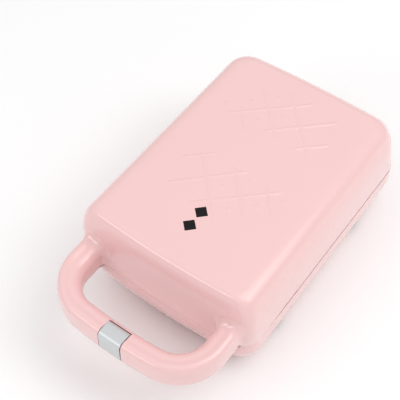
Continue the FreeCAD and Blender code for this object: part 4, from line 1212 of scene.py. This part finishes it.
@dataclass
class WafflePlate:
    """A cast plate: a flange, a basin and two moulds with rows of rounded knobs."""

    face: float
    up: float
    middle_y: float = 20.725
    width: float = 124.0
    length: float = 172.0
    corner: float = 9.0
    flange: float = 2.9
    depth: float = 11.5
    skin_wall: float = 2.5
    step: float = 4.0
    mould: tuple[float, float] = (111.0, 76.0)
    mould_y: float = 41.5
    pitch: float = 17.2
    knob: float = 8.0
    knob_height: float = 6.0
    columns: int = 187
    rows: int = 259
    edge_drop: float = 0.4
    edge_width: float = 0.6

    @staticmethod
    def _box(x: Array, y: Array, half_x: float, half_y: float, corner: float) -> Array:
        """How far points lie outside a rounded rectangle.

        Args:
            x: Places across it.
            y: Places along it.
            half_x: Half its width.
            half_y: Half its length.
            corner: Radius of its corners.

        Returns:
            The distances, below zero inside.
        """
        far_x, far_y = np.abs(x) - half_x + corner, np.abs(y) - half_y + corner
        return (np.hypot(np.maximum(far_x, 0), np.maximum(far_y, 0))
                + np.minimum(np.maximum(far_x, far_y), 0) - corner)

    def relief(self, x: Array, y: Array) -> Array:
        """How far the face lies below the flange.

        The mould's floor lies the basin's depth less its skin below the flange. The
        mould's wall and the walls of the knobs are smooth steps of the distance from
        their edges.

        Args:
            x: Places across the plate.
            y: Places along it from its middle.

        Returns:
            The depths.
        """
        well = self._box(x, np.abs(y) - self.mould_y, self.mould[0] / 2, self.mould[1] / 2, 5.0)
        floor = (self.depth - self.skin_wall) * ease(0.0, 1.8, -well)
        column, row = x / self.pitch, (np.abs(y) - self.mould_y) / self.pitch
        near_x = np.where(np.abs(column) < 3, (column % 1 - 0.5) * self.pitch, 99.0)
        near_y = np.where(np.abs(row) < 2, (row % 1 - 0.5) * self.pitch, 99.0)
        knob = self._box(near_x, near_y, self.knob / 2, self.knob / 2, 1.2)
        return floor - self.knob_height * ease(-0.2, 1.6, -knob) * (well < 0)

    def skin(self) -> Skin:
        """The plate as a closed skin: the face as a height field, the back as steps.

        Grid points past a corner's centre are drawn in until the square's corner
        becomes the round one.

        Returns:
            The closed plate.
        """
        xs = np.linspace(-self.width / 2, self.width / 2, self.columns)
        ys = np.linspace(-self.length / 2, self.length / 2, self.rows)
        x, y = (part.copy() for part in np.meshgrid(xs, ys))
        over_x, over_y = np.abs(x) - self.width / 2 + self.corner, np.abs(y) - self.length / 2 + self.corner
        reach = np.hypot(np.maximum(over_x, 0), np.maximum(over_y, 0))
        square = np.maximum(np.maximum(over_x, over_y), 0)
        pull = np.where(reach > 1e-6, square / np.maximum(reach, 1e-6), 1.0)
        pull = np.where((over_x > 0) & (over_y > 0), pull, 1.0)
        x = np.where(pull < 1, np.sign(x) * (self.width / 2 - self.corner + over_x * pull), x)
        y = np.where(pull < 1, np.sign(y) * (self.length / 2 - self.corner + over_y * pull), y)
        drop = self.relief(x, y)
        edge = self._box(x, y, self.width / 2, self.length / 2, self.corner)
        drop = drop + self.edge_drop * (1 - ease(0.0, self.edge_width, -edge))
        face = np.stack([x, y + self.middle_y, self.face - self.up * drop], -1)
        skin = Skin()
        numbers = skin.add(face)
        skin.weave(numbers)
        rim = np.concatenate([numbers[0, :-1], numbers[:-1, -1], numbers[-1, :0:-1], numbers[:0:-1, 0]])
        edge_ring = face.reshape(-1, 3)[rim]
        middle = np.array((0, self.middle_y, 0.0))
        rings = []
        steps = ((0.0, self.flange), (self.step, self.flange),
                 (self.step + 0.6, self.depth - 0.6), (self.step + 1.4, self.depth))
        for inset, down in steps:
            ring = edge_ring - middle
            scale = np.array(((self.width / 2 - inset) / (self.width / 2),
                              (self.length / 2 - inset) / (self.length / 2), 0))
            ring = middle + ring * scale
            ring[:, 2] = self.face - self.up * down
            rings.append(ring)
        back = skin.add(np.stack(rings))
        skin.weave(np.vstack([rim[None], back]), columns_meet=True)
        skin.cap(back[-1], (0, self.middle_y, self.face - self.up * self.depth))
        return skin


# ---------------------------------------------------------------- the latch


@dataclass
class Latch:
    """The silver latch: a skin flush with the grip, a knuckle on its pin and a hook."""

    face: float = -132.725
    skin: float = 2.2
    foot: float = GRIP_FOOT
    height: float = GRIP_HEIGHT
    pivot: tuple[float, float] = (-123.675, 60.3)
    knuckle: float = 3.6
    half: float = 8.4
    hook_low: float = 43.4
    hook_high: float = 45.6
    hook_tip: float = -124.725
    crown: float = 4.4

    def outline(self) -> Array:
        """The side view: crown, top, knuckle, inner face, hook and outer foot.

        The outer foot is drawn in as the grip's own side is, no further than half
        the width of the grip's foot.

        Returns:
            Points as (y, z).
        """
        top = self.foot + self.height
        inner = self.face + self.skin
        y, z = self.pivot
        crown = arc((self.face + self.crown, top - self.crown), self.crown, 180, 92, 14)
        nose = arc((y, z - 0.25), self.knuckle - 0.05, 78, -90, 22)
        hook = np.array([
            (inner + 1.0, z - self.knuckle - 0.2), (inner, z - self.knuckle - 1.2),
            (inner, self.hook_high), (self.hook_tip - 1.0, self.hook_high),
            (self.hook_tip, self.hook_low + 1.2), (self.hook_tip, self.hook_low),
            (inner + 0.7, self.hook_low), (inner + 1.5, self.foot)])
        rise = np.array([0.0, 0.3, 0.7, 1.2, 1.8, 2.6, 3.6, 4.8, 6.2, 8.0])
        side = GRIP_HALF * (1 - (1 - 2 * rise / self.height) ** 4) ** 0.25
        tuck = GRIP_HALF - np.maximum(side, GRIP_FOOT_HALF)
        foot = np.stack([self.face + tuck, self.foot + rise], -1)
        return np.concatenate([crown, nose, hook, foot])

    def build(self) -> None:
        """Makes the latch."""
        clip = prism(self.outline(), -self.half, self.half)
        settle("latch_face", clip, LATCH, Body.LATCH, ("latch_clip",), sharp=35, bevel=0.35)


# ---------------------------------------------------------------- carried nodes and the studio


CARRIED: dict[Finish, tuple[str, ...]] = {
    DECK: ("lower_deck", "upper_deck", "catch_tongue"),
    TUBE: ("lower_heater", "upper_heater"),
    PAN: ("lower_reflector", "upper_reflector", "fuse_clip"),
    ZINC: ("catch_screws", "lower_deck_screws", "upper_deck_screws", "lower_plate_screws",
           "upper_plate_screws", "liner_screws", "lamp_screws"),
    PIN: ("hinge_pins", "latch_pin", "thermal_fuse"),
    SPRING: ("latch_spring",),
    CERAMIC: ("terminal_block", "lower_thermostat", "upper_thermostat"),
    NYLON: ("lamp_holder",),
    LAMP: ("power_lamp", "ready_lamp"),
}


def dress_carried() -> None:
    """Gives every node of the frame that is still shown its finish."""
    for finish, names in CARRIED.items():
        for name in names:
            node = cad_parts[name]
            node.data.materials.clear()
            node.data.materials.append(finish.material())
            LOG.info("%s: carried, %s", name, finish.slot)


@dataclass
class Studio:
    """A plain pale floor, soft lights and the camera.

    The glow is the strength of the surroundings at the horizon and overhead.
    """

    target: tuple[float, float, float] = (-27.445, 2.24, 40.0)
    azimuth: float = 36.051
    elevation: float = 53.42
    roll: float = -0.165
    distance: float = 669.012
    lens: float = 83.91
    glow: tuple[float, float] = (0.56, 0.92)

    def camera(self) -> None:
        """Places the camera on its line through the target."""
        a, e = math.radians(self.azimuth), math.radians(self.elevation)
        back = Vector((math.sin(a) * math.cos(e), -math.cos(a) * math.cos(e), math.sin(e)))
        data = bpy.data.cameras.new("camera")
        data.lens, data.sensor_width = self.lens, 36.0
        data.clip_start, data.clip_end = 0.05, 20.0
        eye = bpy.data.objects.new("camera", data)
        eye.location = (Vector(self.target) + back * self.distance) * MM
        turn = (-back).to_track_quat("-Z", "Y").to_matrix().to_4x4()
        eye.rotation_euler = (turn @ Matrix.Rotation(math.radians(self.roll), 4, "Z")).to_euler()
        bpy.context.scene.collection.objects.link(eye)
        bpy.context.scene.camera = eye

    def floor(self) -> None:
        """A wide pale floor with a faint unevenness in its tone."""
        side = np.linspace(-3000, 3000, 9)
        x, y = np.meshgrid(side, side)
        skin = Skin()
        skin.weave(skin.add(np.stack([x, y, np.full_like(x, -0.02)], -1)))
        mesh = skin.mesh("floor", 60)
        if mesh.polygons[0].normal.z < 0:
            mesh.flip_normals()
        floor = bpy.data.objects.new("floor", mesh)
        bpy.context.scene.collection.objects.link(floor)
        paper = Finish("floor_paper", (0.97, 0.97, 0.97), (0.955, 0.955, 0.955), 0.9, 0.05, specular=0.1,
                       grain_size=6, relief=0.05, patch_size=300)
        floor.data.materials.append(paper.material())

    def lamp(self, name: str, spot: tuple[float, float, float], size: tuple[float, float],
             power: float, aim: tuple[float, float, float] = (0.0, 0.0, 50.0)) -> None:
        """Hangs one soft light.

        Args:
            name: Name of the light.
            spot: Where it hangs, in millimetres.
            size: Its width and height in millimetres.
            power: Its power in watts.
            aim: What it faces.
        """
        data = bpy.data.lights.new(name, "AREA")
        data.shape = "RECTANGLE"
        data.size, data.size_y = size[0] * MM, size[1] * MM
        data.energy = power
        light = bpy.data.objects.new(name, data)
        light.location = Vector(spot) * MM
        light.rotation_euler = (Vector(aim) - Vector(spot)).to_track_quat("-Z", "Y").to_euler()
        bpy.context.scene.collection.objects.link(light)

    def build(self) -> None:
        """Sets up the floor, the lights, the surroundings and the camera."""
        self.floor()
        self.lamp("overhead_softbox", spot=(560, 250, 1200), size=(800, 900), power=3.6)
        self.lamp("front_left_strip", spot=(-420, -980, 600), size=(700, 230), power=1.9)
        self.lamp("right_strip", spot=(800, 330, 860), size=(420, 700), power=1.3)
        world = bpy.data.worlds.new("surroundings")
        world.use_nodes = True
        sky = world.node_tree.nodes["Background"]
        sky.inputs["Color"].default_value = (1.0, 1.0, 1.0, 1.0)
        nodes, links = world.node_tree.nodes, world.node_tree.links
        place, parts = nodes.new("ShaderNodeTexCoord"), nodes.new("ShaderNodeSeparateXYZ")
        rise = nodes.new("ShaderNodeMapRange")
        rise.inputs["To Min"].default_value, rise.inputs["To Max"].default_value = self.glow
        links.new(place.outputs["Generated"], parts.inputs["Vector"])
        links.new(parts.outputs["Z"], rise.inputs["Value"])
        links.new(rise.outputs["Result"], sky.inputs["Strength"])
        bpy.context.scene.world = world
        bpy.context.scene.view_settings.view_transform = "Standard"
        self.camera()


def main() -> None:
    """Builds the waffle maker piece by piece, then the studio round it."""
    logging.basicConfig(level=logging.INFO, format="%(message)s")
    Lid().build()
    Base().build()
    settle("lower_waffle_plate", WafflePlate(39.85, 1.0).skin(), COATING, Body.BASE,
           ("lower_plate",), sharp=60)
    settle("upper_waffle_plate", WafflePlate(40.15, -1.0).skin(), COATING, Body.LID,
           ("upper_plate",), sharp=60)
    Latch().build()
    dress_carried()
    Studio().build()


if __name__ == "__main__":
    main()
